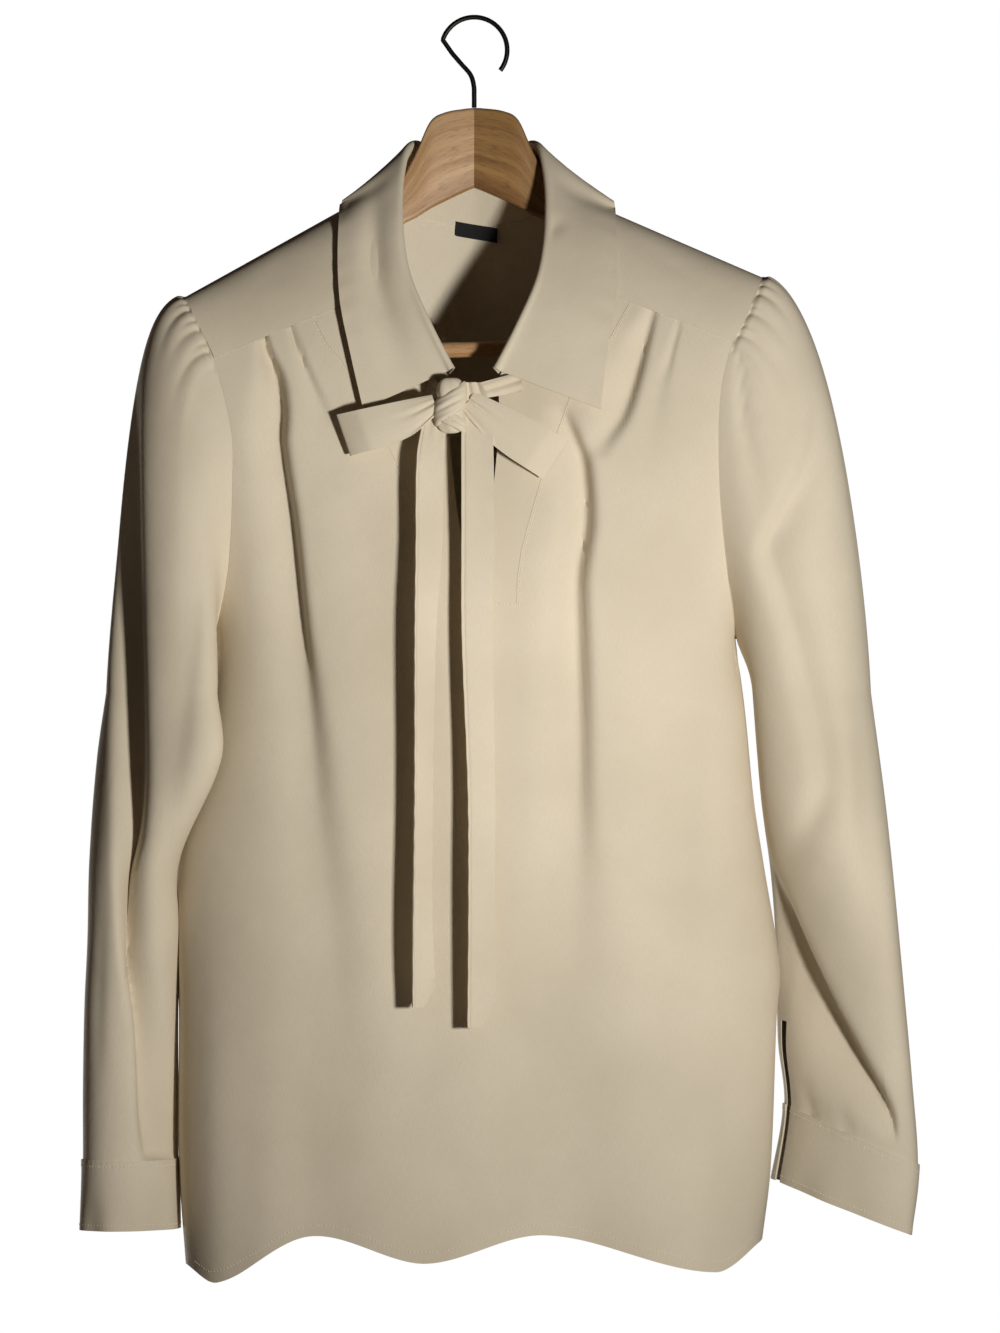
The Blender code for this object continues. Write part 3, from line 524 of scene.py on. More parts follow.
def fold(*rows):
    """Trough that runs down a panel: rows of height, place across, depth and width on each side."""
    Row = namedtuple("Row", "z place depth before after")
    table = [Row(*row) for row in rows]
    return (Crease(*(curve(table, "z", name) for name in ("place", "depth", "before", "after"))),
            table[0].z, table[-1].z)


def trough(folds, across, z, around=None):
    """Depth of all folds at each place; negative depths are ridges."""
    total = np.zeros(np.broadcast(across, z).shape)
    for crease, top, low in folds:
        away = across - crease.place(z)
        if around:
            away = (away + around / 2) % around - around / 2
        width = np.where(away < 0, crease.before(z), crease.after(z))
        held = (z <= top + 1e-6) & (z >= low - 1e-6)
        total = total + np.where(held, crease.depth(z) * np.exp(-(away / width)**2), 0.0)
    return total


def pressed(grid, depth, outward, ring=False):
    """The grid moved in along its normals by a depth at each point."""
    return grid - turned_out(grid, ring, np.array(outward)) * depth[..., None]

# %% [markdown]
# ## Front
#
# The front is one panel. Two knife pleats on each side are caught in the yoke seam and open into
# long hanging folds. The slit is cut down from the neck. Folds are troughs with a steep side
# where the cloth turns under and a shallow side where it swells back, and each table row gives
# height, place, depth and both widths.

# %% Front panel
FRONT_FOLDS = (
    # pleat nearest the left sleeve, steep on its right side
    fold((-203, -136, 2.5, 3, 1.0), (-216, -133.5, 7, 5, 1.6), (-236, -127, 11, 9, 3.4),
         (-258, -125, 12, 14, 4.2), (-278, -126, 12, 15, 4.4), (-329, -119.5, 12, 18, 4.6),
         (-400, -113, 11, 20, 5.4), (-445, -109, 8.5, 22, 8.5), (-518, -103, 5.5, 24, 13),
         (-620, -92, 2.5, 28, 18), (-700, -86, 0, 30, 20)),
    # second left pleat, short
    fold((-199, -118.5, 1.5, 2, 0.8), (-208, -116, 2.6, 3, 1.1), (-227, -109.5, 3.4, 4.5, 1.6),
         (-249, -100.5, 2.4, 8, 3), (-275, -92, 1.0, 14, 8), (-310, -84, 0, 18, 12)),
    # deep right pleat: its pressed edge, and the channel that starts below where it fades
    fold((-186, 118, 0.8, 2, 1.2), (-198, 115, 3.5, 6, 2.0), (-217, 109, 7, 10, 3.2),
         (-245, 101, 8.5, 13, 4), (-262, 95, 6.5, 12, 4.5), (-276, 86, 3.5, 10, 5),
         (-290, 78, 0, 10, 6)),
    fold((-254, 56, 0, 6, 4), (-264, 60, 4, 8, 4), (-276, 65, 8, 10, 3.8), (-290, 70, 11, 13, 4.2),
         (-329, 72.5, 12.5, 14, 4.4), (-364, 68, 12.5, 15, 4.4), (-400, 68.5, 12, 16, 4.6),
         (-450, 69, 10, 18, 5.5), (-520, 68, 7, 22, 8), (-610, 62, 2.6, 28, 20), (-700, 58, 0, 30, 24)),
    # second right pleat: little more than its pressed edge
    fold((-196, 134, 0.5, 1.2, 0.8), (-205, 132, 1.3, 2.4, 1.0), (-223, 127.5, 1.8, 4, 1.4),
         (-246, 120, 1.2, 8, 5), (-290, 112, 0.6, 14, 10), (-330, 106, 0, 16, 12)),
    # soft swells of the hanging cloth
    fold((-300, -72, 0, 20, 18), (-350, -66, 2.2, 22, 20), (-430, -58, 1.2, 26, 22),
         (-520, -54, 0, 28, 24)),
    fold((-240, 60, 0, 14, 12), (-275, 52, 1.6, 14, 12), (-330, 44, 0.8, 16, 14), (-380, 40, 0, 16, 14)),
    fold((-330, 150, 0, 22, 14), (-450, 142, 4.5, 24, 14), (-560, 134, 3, 26, 16), (-700, 128, 0, 26, 18)),
    fold((-470, -24, 0, 34, 30), (-600, -30, 3, 34, 30), (-835, -36, 4, 34, 30)),
    fold((-600, -150, 0, 16, 18), (-720, -152, 3, 18, 18), (-835, -155, 4, 18, 18)),
    fold((-640, 60, 0, 26, 26), (-740, 70, 2.2, 26, 26), (-835, 76, 2.5, 26, 26)),
    fold((-600, 168, 0, 10, 14), (-700, 165, 3, 12, 14), (-835, 160, 4, 14, 14)),
    # small marks of wear: a short crease by each tail
    fold((-571, -46, 0, 1, 1.2), (-577, -44.5, 0.35, 1, 1.2), (-592, -41, 0, 1.2, 1.4)),
    fold((-292, 127, 0, 1, 1), (-299, 129, 0.3, 1, 1), (-309, 131, 0, 1, 1)),
)
FRONT_ROWS, FRONT_COLUMNS = 190, 74
TOP_GUESS_Z = -230.0     # the search for the panel's top edge starts here
TUCK_FROM_X = 48.0       # the yoke seam starts this far from the middle
YOKE_TUCK = 5.0          # how far the front runs up under the yoke


def spread(count, edge_share=0.45):
    """Places from 0 to 1, closer together near 1 where a panel turns to its side seam."""
    steps = np.linspace(0, 1, count + 1)
    return mix(steps, np.sin(np.pi / 2 * steps), edge_share)


def front_grid(rows, columns):
    """Middle points of the front: columns fan out from the slit, rows run from neck to hem."""
    half = spread(columns)
    side = np.concatenate([-np.ones(len(half)), np.ones(len(half))])
    u = np.concatenate([half[::-1], half])
    slit_share = (SLIT_END_Z - front_top_z(16)) / (HEM_MEAN_Z - front_top_z(16))
    slit_rows = int(rows * 0.3)
    shares = np.concatenate([slit_share * np.linspace(0, 1, slit_rows + 1)**1.15,
                             mix(slit_share, 1, np.linspace(0, 1, rows - slit_rows + 1)[1:])])

    def across(z):
        return side * mix(SLIT_HALF_X(z), by_side(EDGE_FRONT, side, z), u)

    top = np.full(len(u), TOP_GUESS_Z)
    for _ in range(12):
        top = front_top_z(across(top))
    low = HEM_FRONT_Z(across(np.full(len(u), HEM_MEAN_Z)))
    z = mix(top[None, :], low[None, :], shares[:, None])
    x = side[None, :] * mix(SLIT_HALF_X(z), by_side(EDGE_FRONT, side[None, :] + 0 * z, z), u[None, :])
    return np.stack([x, front_y(x, z), z], axis=2), slit_rows


def with_front_folds(grid):
    x, z = grid[..., 0], grid[..., 2]
    return pressed(grid, trough(FRONT_FOLDS, x, z) * inside_share(x, z), (0, -1, 0))


front_points, slit_rows = front_grid(FRONT_ROWS, FRONT_COLUMNS)
front_points = with_front_folds(front_points)
tuck = np.repeat(front_points[:1], 2, axis=0)
tuck_on = smooth_step((np.abs(tuck[..., 0]) - TUCK_FROM_X) / 6)
for step in (0, 1):
    share = 1 - step * 0.5
    tuck[step, :, 2] += tuck_on[step] * YOKE_TUCK * share
    tuck[step, :, 1] += tuck_on[step] * (1.5 - step * 0.3) + YOKE_TUCK * 0.35 * share * tuck_on[step]
front_points = np.concatenate([tuck, front_points])
front_kept = np.ones((front_points.shape[0] - 1, front_points.shape[1] - 1), bool)
front_kept[:slit_rows + 2, FRONT_COLUMNS] = False
front = shell("front_cloth", front_points, CREPE, kept=front_kept)
print("front", len(front.data.polygons), "faces")

# %% [markdown]
# ## Back
#
# The back is cut on over both shoulders to the seam that lies forward of them, where it laps
# over the front. It hangs in a few broad folds of its own, placed like those of the front.

# %% Back panel
BACK_FOLDS = (
    fold((-320, -68, 0, 22, 14), (-420, -74, 5, 24, 14), (-600, -86, 8, 26, 16), (-800, -95, 9, 26, 16)),
    fold((-350, 30, 0, 22, 18), (-450, 34, 4, 24, 18), (-620, 44, 7, 24, 18), (-800, 50, 8, 24, 18)),
    fold((-290, 118, 0, 14, 18), (-380, 120, 5, 16, 20), (-560, 124, 8, 18, 20), (-790, 126, 7, 18, 20)),
    fold((-240, -130, 0, 14, 12), (-330, -134, 4, 16, 13), (-480, -140, 3, 18, 14),
         (-640, -146, 0, 18, 16)),
    fold((-200, 4, 0, 18, 22), (-290, -2, 2, 20, 22), (-420, -12, 1.6, 26, 26), (-560, -20, 0, 28, 28)),
    fold((-170, 86, 0, 10, 12), (-220, 92, 1.6, 12, 12), (-300, 98, 0, 14, 14)),
    fold((-165, -84, 0, 10, 12), (-225, -92, 1.8, 12, 12), (-290, -100, 0, 14, 14)),
    fold((-620, 0, 0, 18, 22), (-720, -6, 3, 18, 22), (-800, -10, 4, 18, 22)),
)
BACK_ROWS, STRIP_ROWS = 170, 34
YOKE_LIFT = 0.7          # how far the yoke lies over the front at their seam


def back_grid():
    """Middle points of the back panel and of its strips over the shoulders."""
    neck = np.linspace(0, 1, 22) * NECK_SIDE_X
    outer = mix(NECK_SIDE_X, SHOULDER_X, spread(46, 0.3)[1:])
    half = np.concatenate([neck, outer]) / SHOULDER_X
    side = np.concatenate([-np.ones(len(half) - 1), np.ones(len(half))])
    u = np.concatenate([half[:0:-1], half])
    x_top = side * u * SHOULDER_X
    neck_share = NECK_SIDE_X / SHOULDER_X
    top = np.where(u < neck_share - 0.001, NECK_BACK_Z(np.abs(x_top)), ridge_z(x_top))
    share = 1 - (1 - np.linspace(0, 1, BACK_ROWS + 1))**1.8
    z = mix(HEM_BACK_Z(x_top)[None, :], top[None, :], share[:, None])
    x = side * u * by_side(EDGE_BACK, side + 0 * z, z)
    body = np.stack([x, back_y(x, z), z], axis=2)
    body = pressed(body, trough(BACK_FOLDS, x, z) * inside_share(x, z), (0, 1, 0))
    w = np.linspace(0, 1, STRIP_ROWS + 1)[1:, None]
    beyond = np.maximum((u - neck_share) / (1 - neck_share), 0.0)
    end_z = np.where(side < 0, yoke_z(-EDGE_FRONT[-1](-215)), yoke_z(EDGE_FRONT[1](-215)))
    shoulder = np.where(side < 0, SHOULDER_Z[-1], SHOULDER_Z[1])
    out_z = mix(shoulder, end_z, w * w)
    inner_x = mix(NECK_SIDE_X, NECK_FRONT[-1].x, w)
    x = side * mix(inner_x, by_side(EDGE_FRONT, side + 0 * out_z, out_z), beyond)
    ridge = ridge_z(side * mix(NECK_SIDE_X, SHOULDER_X, beyond))
    z = mix(ridge, yoke_z(x) - 0.6, w * w)
    y = middle_y(x, z) - FRONT_DEPTH * fullness(x, z) - YOKE_LIFT * smooth_step((w - 0.6) / 0.35)
    strips = np.stack([x, y, z], axis=2)
    creases = (fold((-150, -118, 0, 8, 14), (-165, -126, 0.7, 9, 14), (-182, -136, 0, 10, 14)),
               fold((-140, 104, 0, 10, 9), (-155, 118, 0.9, 12, 9), (-176, 140, 0, 12, 9)))
    strips = pressed(strips, trough(creases, x, z), (0, -0.5, 1))
    inner = np.abs(np.arange(len(u) - 1) - (len(half) - 1) + 0.5) > len(neck) - 1
    kept = np.ones((BACK_ROWS + STRIP_ROWS, len(u) - 1), bool)
    kept[BACK_ROWS:, ~inner] = False
    return np.concatenate([body, strips]), kept


back_points, back_kept = back_grid()
back = shell("back_cloth", back_points, CREPE, kept=back_kept, outward=(0, 1, 0))
print("back", len(back.data.polygons), "faces")

# %% [markdown]
# ## Sleeves
#
# Each sleeve is a tube, gathered into the armhole at its cap and held by a cuff. Its rings turn
# from the armhole's outline to a hanging tube. The gathers are short ridges that start at the
# seam, each with its own place, length and height, because real gathers are never even.

# %% Sleeve tables
Ring = namedtuple("Ring", "z outer inner y depth lean raised turn")
RINGS = {
    -1: (Ring(-440, 242, 166, -44, 30, -20, 0, -55), Ring(-482, 247, 163, -48, 29, -22, 0, -50),
         Ring(-550, 250, 191.5, -43, 30, -2, 0, -40), Ring(-600, 251, 191.5, -30, 32, 6, 0, -30),
         Ring(-645, 253, 193, -26, 33, 9, 0, -20), Ring(-700, 254, 193, -24, 33, 10, 0, -10),
         Ring(-744, 254, 193, -24, 31, 10, 0, 0), Ring(-789, 255, 192, -24, 30, 10, 0, 0)),
    1: (Ring(-440, 258, 181, -34, 32, -4, 0, -20), Ring(-510, 267, 187, -33, 34, 2, 0, -10),
        Ring(-560, 272, 194, -28, 34, 16, 0, 0), Ring(-620, 278, 198, -23, 33, 26, 6, 0),
        Ring(-680, 284, 199, -22, 31, 25, 12, 0), Ring(-728, 288, 203, -22, 27, 20, 19, 0),
        Ring(-775, 284, 196, -22, 26, 20, 17, 0)),
}
CUFF_TOP = {-1: -744.0, 1: -728.0}
CUFF_END = {-1: -789.0, 1: -775.0}
SLIT_PLACE = {-1: 0.885, 1: 0.055}
SLIT_TOP = {-1: -690.0, 1: -664.0}
SLIT_HALF = 0.014
CAP_REACH = 66.0
# Folds of the hidden sides: height, turn round the tube, depth and both widths in turns
SLEEVE_FOLDS = {
    -1: (fold((-300, 0.66, 0, 0.06, 0.06), (-420, 0.68, 7, 0.06, 0.06), (-560, 0.69, 5, 0.06, 0.06),
              (-640, 0.70, 0, 0.06, 0.06)),
         fold((-230, 0.60, 0, 0.02, 0.03), (-290, 0.61, 3, 0.03, 0.03), (-380, 0.63, 0, 0.03, 0.03))),
    1: (fold((-300, 0.70, 0, 0.06, 0.06), (-430, 0.68, 7, 0.06, 0.06), (-560, 0.67, 5, 0.06, 0.06),
             (-640, 0.66, 0, 0.06, 0.06)),
        fold((-230, 0.60, 0, 0.02, 0.03), (-280, 0.61, 3, 0.03, 0.03), (-370, 0.63, 0, 0.03, 0.03))),
}

# Folds of the sleeves' fronts, placed across like those of the body
SLEEVE_FRONT_FOLDS = {
    -1: (fold((-205, -222, 0, 6, 3), (-235, -225, 5, 7, 6), (-330, -228, 13, 6, 9),
              (-406, -228, 18, 5, 10), (-518, -226, 19, 5, 11), (-603, -222, 18, 5, 10),
              (-646, -213, 16, 6, 9), (-671, -211, 14, 6, 11), (-716, -210, 11, 6, 13),
              (-742, -208, 7, 6, 13)),
         fold((-290, -170, 0, 16, 8), (-345, -173, 2.6, 16, 8), (-410, -182, 3.4, 16, 9),
              (-482, -192, 2.4, 15, 9), (-545, -200, 0, 14, 9)),
         fold((-560, -240, 0, 5, 5), (-640, -243, 1.2, 5, 5), (-700, -243, 0, 5, 5))),
    1: (fold((-535, 186, 0, 9, 4), (-551, 190, 4, 11, 4.5), (-598, 205, 13, 15, 6.5),
             (-639, 222, 17, 18, 8), (-674, 241, 17, 22, 8), (-700, 259, 13, 22, 6),
             (-716, 270, 7, 12, 3), (-727, 272, 2, 6, 2.5), (-731, 272, 0, 6, 2.5)),
        fold((-245, 224, 0, 6, 12), (-292, 218, 4, 7, 13), (-330, 198, 6, 7, 15), (-347, 190, 6.5, 7, 17),
             (-385, 202, 5.5, 7, 15), (-429, 214, 5, 8, 13), (-493, 227, 5, 8, 11), (-520, 219, 5, 9, 13),
             (-538, 211, 2.5, 9, 13), (-560, 206, 0, 9, 13)),
        fold((-215, 171, 0, 2, 2), (-228, 171, 2.6, 3, 2), (-260, 175, 2.4, 5, 2.6), (-300, 183, 1.4, 7, 5),
             (-350, 190, 0, 8, 8)),
        fold((-430, 250, 0, 8, 8), (-520, 254, 2.4, 9, 9), (-620, 259, 0, 9, 9)),
        fold((-690, 214, 0, 3, 3), (-712, 219, 1.8, 3.4, 2.6), (-727, 222, 1.4, 2.6, 2.2)),
        fold((-700, 236, 0, 3, 3), (-718, 241, 1.5, 3, 2.4), (-730, 243, 1.2, 2.4, 2))),
}

# Creases between the gathers, by distance along the cap seam from the shoulder point, plus to the back
Gather = namedtuple("Gather", "place width depth length lean")
GATHERS = {
    -1: (Gather(-60, 2.4, 0.9, 22, 0.05), Gather(-49, 1.8, 2.2, 34, 0.14), Gather(-43, 1.3, 1.3, 12, 0.0),
         Gather(-33, 2.2, 2.0, 26, 0.08), Gather(-26, 1.2, 1.4, 9, 0.0), Gather(-17, 2.0, 2.3, 30, -0.06),
         Gather(-12, 1.1, 1.2, 9, 0.0), Gather(-5, 1.5, 1.6, 16, 0.05), Gather(4, 2.0, 1.8, 26, 0.0),
         Gather(13, 1.4, 1.4, 13, 0.03), Gather(24, 2.0, 1.8, 26, 0.0), Gather(33, 1.3, 1.2, 12, 0.0),
         Gather(45, 2.2, 1.7, 26, 0.0), Gather(57, 2.2, 1.2, 20, -0.04)),
    1: (Gather(-61, 1.8, 1.0, 18, 0.0), Gather(-51, 1.8, 2.3, 50, 0.14), Gather(-44, 1.2, 1.6, 12, 0.0),
        Gather(-35, 2.0, 2.2, 30, 0.10), Gather(-30, 1.1, 1.4, 9, 0.0), Gather(-20, 1.8, 2.2, 24, 0.0),
        Gather(-13, 1.3, 1.4, 12, 0.0), Gather(-3, 2.0, 2.1, 40, 0.04), Gather(7, 1.3, 1.4, 14, 0.0),
        Gather(15, 1.8, 1.8, 26, 0.03), Gather(27, 1.4, 1.4, 14, 0.0), Gather(37, 2.2, 1.8, 26, 0.0),
        Gather(51, 2.0, 1.4, 22, -0.04)),
}
CAP_PUFF = 1.9          # how far the gathered cap stands out beyond its seam


# %% Sleeve shape
def armhole(side, turn):
    """Points of the armhole seam: turn 0 is the underarm, a quarter the front, a half the shoulder."""
    z = mix(UNDERARM_Z, SHOULDER_Z[side], (1 - np.cos(2 * np.pi * turn)) / 2)
    fore = turn < 0.5
    x = side * np.where(fore, EDGE_FRONT[side](z), EDGE_BACK[side](z))
    depth = np.where(fore, -FRONT_DEPTH, BACK_DEPTH)
    return np.stack([x, middle_y(x, z) + depth * fullness(x, z), z], axis=-1)


def ring_points(side, turn, z):
    """Points of the sleeve or cuff rings."""
    value = {name: curve(RINGS[side], "z", name)(z) for name in Ring._fields[1:]}
    angle = 2 * np.pi * turn + np.radians(value["turn"])
    half = (value["outer"] - value["inner"]) / 2
    x = side * (value["outer"] + value["inner"]) / 2 - side * half * np.cos(angle)
    y = value["y"] + value["lean"] * np.cos(angle) - value["depth"] * np.sin(angle)
    return np.stack([x, y, z + value["raised"] * np.cos(angle)], axis=-1)


def cap_place(side):
    """Distance along the cap seam from the shoulder point, as a function of turn."""
    turns = np.linspace(0, 1, 801)
    steps = np.linalg.norm(np.diff(armhole(side, turns), axis=0), axis=1)
    lengths = np.concatenate([[0], np.cumsum(steps)])
    lengths -= lengths[400]
    return (lambda turn: np.interp(turn, turns, lengths)), (lambda place: np.interp(place, lengths, turns))


CAP = {side: cap_place(side) for side in (-1, 1)}


def sleeve_turns(side):
    """Column places round a sleeve, close together over the cap, with a pair at the slit."""
    place_of, turn_of = CAP[side]
    cap = turn_of(np.linspace(-CAP_REACH, CAP_REACH, 121))
    under = mix(cap[-1], 1 + cap[0], np.linspace(0, 1, 46)[1:-1]) % 1.0
    turns = np.concatenate([cap, under])
    slit = SLIT_PLACE[side]
    turns = turns[np.abs(turns - slit) > SLIT_HALF + 0.006]
    return np.sort(np.concatenate([turns, [slit - SLIT_HALF, slit + SLIT_HALF]]))


def sleeve_top(side, turn, share):
    """Points between the armhole, share 0, and the first full ring, share 1."""
    start = armhole(side, turn)
    end = ring_points(side, turn, np.full_like(turn, RINGS[side][0].z))
    topness = (1 - np.cos(2 * np.pi * turn)) / 2
    start[:, 0] += side * mix(1.2, 0.2, topness)
    start_slope = np.stack([side * mix(6, 135, topness), -34 * np.sin(2 * np.pi * turn),
                            mix(-30, -12, topness)], axis=-1)
    end_slope = np.stack([side * mix(2, 10, topness), 0 * turn, mix(-35, -255, topness)], axis=-1)
    t = share[:, None, None]
    return hermite(start[None], start_slope[None], end[None], end_slope[None], t)


def gather_height(side, turn, distance):
    """Height of the gathered cap: a puff that starts at the seam, with creases running out of it."""
    place = CAP[side][0](turn)[None, :] + 0 * distance
    held = smooth_step((CAP_REACH + 2 - np.abs(place)) / 12)
    total = CAP_PUFF * smooth_step(distance / 5) * np.exp(-(distance / 34)**2) * held
    for row in GATHERS[side]:
        drift = row.place + row.lean * distance
        line = np.exp(-np.abs((place - drift) / (row.width * (1 + distance / 14)))**1.6)
        total = total - row.depth * line * smooth_step(distance / 1.5) * np.exp(-(distance / row.length)**2)
    return total


def sleeve_grid(side):
    """Middle points of a sleeve from inside the armhole seam to the cuff seam."""
    turn = sleeve_turns(side)
    share = np.concatenate([np.linspace(0, 0.3, 40)**1.15 * 0.3**-0.15, np.linspace(0.3, 1, 36)[1:]])
    upper = sleeve_top(side, turn, share)
    top, low = RINGS[side][0].z, CUFF_TOP[side]
    slit_top = SLIT_TOP[side]
    z = np.concatenate([np.linspace(top, slit_top, 62)[1:], np.linspace(slit_top, low, 16)[1:]])
    lower = ring_points(side, turn[None, :] + 0 * z[:, None], z[:, None] + 0 * turn[None, :])
    grid = np.concatenate([upper, lower])
    distance = np.concatenate([np.zeros((1, len(turn))),
                               np.cumsum(np.linalg.norm(np.diff(grid, axis=0), axis=2), axis=0)])
    centre = grid.mean(axis=1, keepdims=True)
    outward = grid - centre
    outward[..., 2] *= 0.2
    depth = trough(SLEEVE_FOLDS[side], turn[None, :], grid[..., 2], around=1.0)
    facing = turned_out(grid, True, outward)[..., 1]
    seen = trough(SLEEVE_FRONT_FOLDS[side], grid[..., 0], grid[..., 2])
    depth = depth + seen * smooth_step((-facing - 0.05) / 0.5)
    depth[:len(share)] *= smooth_step(share[:, None] / 0.16)
    grid = pressed(grid, depth - gather_height(side, turn, distance), outward, ring=True)
    tucked = armhole(side, turn)
    tucked[:, 0] -= side * 2.2
    tucked[:, 1] += np.where(turn < 0.5, 1.6, -1.6)
    tucked[:, 2] -= 1.4 * (1 - np.cos(2 * np.pi * turn)) / 2
    grid = np.concatenate([tucked[None], grid])
    slit_row = 1 + len(share) + 61 - 1
    return grid, turn, outward, slit_row


def make_sleeve(side, name):
    grid, turn, outward, slit_row = sleeve_grid(side)
    kept = np.ones((grid.shape[0] - 1, grid.shape[1]), bool)
    column = int(np.argmin(np.abs(turn - (SLIT_PLACE[side] - SLIT_HALF))))
    kept[slit_row:, column] = False
    way = np.concatenate([outward[:1], outward])
    thing = shell(name, grid, CREPE, ring=True, kept=kept, outward=way)
    print(name, len(thing.data.polygons), "faces")
    return thing


sleeve_left = make_sleeve(-1, "sleeve_left_cloth")
sleeve_right = make_sleeve(1, "sleeve_right_cloth")

# %% [markdown]
# ## Cuffs
#
# A cuff is an open band of two layers with pressed edges. It follows the rings below the sleeve
# and stays open where the sleeve's slit ends.

# %% Cuffs
CUFF_LAYERS = 1.3


def make_cuff(side, name):
    slit = SLIT_PLACE[side]
    turn = slit + np.linspace(SLIT_HALF, 1 - SLIT_HALF, 110)
    z = np.linspace(CUFF_TOP[side] + 0.6, CUFF_END[side], 26)
    grid = ring_points(side, turn[None, :] + 0 * z[:, None], z[:, None] + 0 * turn[None, :])
    share = np.linspace(0, 1, len(z))[:, None]
    outward = grid - grid.mean(axis=1, keepdims=True)
    outward[..., 2] = 0
    pucker = 0.35 * np.sin(2 * np.pi * turn * 46) * np.exp(-(share / 0.12)**2)
    wave = (0.9 * np.sin(2 * np.pi * turn * 5 + side) + 0.5 * np.sin(2 * np.pi * turn * 9 + 2)) * share**2
    grid = pressed(grid, pucker - wave - 0.5, outward)
    thing = shell(name, grid, CREPE, thickness=CUFF_LAYERS, outward=outward)
    return thing, grid


cuff_left, cuff_left_points = make_cuff(-1, "cuff_left_cloth")
cuff_right, cuff_right_points = make_cuff(1, "cuff_right_cloth")
print("cuffs", len(cuff_left.data.polygons), len(cuff_right.data.polygons), "faces")

# %% [markdown]
# ## Collar
#
# The collar stands up from the neck seam, rolls over and falls to two points. One grid runs round
# the neck from point to point: each column climbs the inside, turns over the roll and comes
# down outside. Slight puckers along the stitched edge show that it was turned and pressed.

# %% Collar
CollarRow = namedtuple("CollarRow", "s seam_x seam_z roll_x roll_y roll_z edge_left edge_right edge_z")
COLLAR = (
    CollarRow(0.00, 0, -133, 0, 21, -92, 0, 0, -162),
    CollarRow(0.14, 27, -130, 25, 17, -88, 38, 38, -159),
    CollarRow(0.25, 46, -121, 37, 4, -80, 70, 72, -146),
    CollarRow(0.34, 56, -110.5, 44, -13, -87, 84, 89, -119.5),
    CollarRow(0.50, 55, -128, 47.5, -34, -122, 88, 92, -140),
    CollarRow(0.70, 50, -170, 43, -54, -167, 87, 92, -184),
    CollarRow(0.86, 34, -206, 28.5, -66, -203, 80, 86, -220),
    CollarRow(1.00, 17, -234, 14.5, -71, -231, 71.5, 82, -257),
)
RIDGE_S = 0.34
ROLL_RADIUS = 2.2
COVER_ROOM = 4.5
COLLAR_LAYERS = 1.2
EDGE_LIFT = 3.5       # the left wing's edge stands further off the front than the right one's
COLLAR_VALUES = {name: curve(COLLAR, "s", name) for name in CollarRow._fields[1:]}
COLLAR_STEPS = 78
STAND_STEPS, FALL_STEPS = 18, 25      # points before the collar's fall, and steps down it
COLLAR_CENTRE = np.array([0, -20, -160])
Dent = namedtuple("Dent", "depth place width level reach drift")
DENTS = (Dent(6.5, -0.76, 0.15, 0.42, 0.2, 0.0), Dent(2.2, 0.56, 0.09, 0.4, 0.3, 0.0),
         Dent(1.6, 0.68, 0.02, 0.08, 0.14, 0.1), Dent(-0.9, 0.80, 0.07, 0.45, 0.35, 0.0),
         Dent(-0.8, -0.84, 0.06, 0.6, 0.3, 0.0))


def collar_column(s, side):
    """Middle points from the neck seam over the roll to the outer edge."""
    value = COLLAR_VALUES
    cover = COVER_ROOM * (1 - 2 * smooth_step((s - RIDGE_S + 0.05) / 0.1))
    cover -= EDGE_LIFT * smooth_step((s - 0.5) / 0.3) if side < 0 else 0.0
    behind = s < RIDGE_S
    panel_y = back_y if behind else front_y
    seam_x, seam_z = side * value["seam_x"](s), value["seam_z"](s)
    roll = np.array([side * value["roll_x"](s), value["roll_y"](s), value["roll_z"](s)])
    seam = np.array([seam_x, float(panel_y(seam_x, seam_z)), seam_z])
    way = (roll - seam) / np.linalg.norm(roll - seam)
    seam = seam - way * 1.0 + np.array([-side * 1.7, 0, 0.8]) * smooth_step((s - RIDGE_S + 0.08) / 0.1)
    edge_x = side * value["edge_left" if side < 0 else "edge_right"](s)
    edge_z = value["edge_z"](s)
    edge = np.array([edge_x, float(panel_y(edge_x, edge_z)) + cover, edge_z])
    step = 0.01
    along = np.array([float(value[f"roll_{axis}"](s + step) - value[f"roll_{axis}"](s - step))
                      for axis in "xyz"]) * (side, 1, 1)
    crest = (roll - seam) - along * (roll - seam).dot(along) / along.dot(along)
    crest /= np.linalg.norm(crest)
    out = np.cross(along, crest)
    out /= np.linalg.norm(out)
    out = out if out.dot(edge - roll) > 0 else -out
    stand_top = roll - crest * 1.6 - out * ROLL_RADIUS
    points = [mix(seam, stand_top, t) for t in np.linspace(0, 1, 11)]
    for angle in np.linspace(0.2, math.pi - 0.2, 9)[1:-1]:
        points.append(roll - crest * 1.4 - out * ROLL_RADIUS * math.cos(angle)
                      + crest * ROLL_RADIUS * math.sin(angle))
    fall_start = roll - crest * 1.2 + out * ROLL_RADIUS
    for t in np.linspace(0, 1, FALL_STEPS + 1):
        point = mix(fall_start, edge, t)
        x, z = point[0], point[2]
        if abs(point[1] - shoulder_y(x)) < 6:
            point[2] = max(z, ridge_z(x) + COVER_ROOM * 0.8)
        if point[2] < ridge_z(x):
            level = float(panel_y(x, point[2])) + cover
            point[1] = max(point[1], level) if behind else min(point[1], level)
        points.append(point)
    return points


def collar_grid():
    places = np.linspace(-1, 1, 2 * COLLAR_STEPS + 1)
    columns = []
    for place in places:
        even = abs(place)
        closer = math.sin(2 * math.pi * (even - RIDGE_S)) + math.sin(2 * math.pi * RIDGE_S)
        columns.append(collar_column(even - 0.4 * closer / (2 * math.pi), -1 if place < 0 else 1))
    return np.array(columns).transpose(1, 0, 2), places


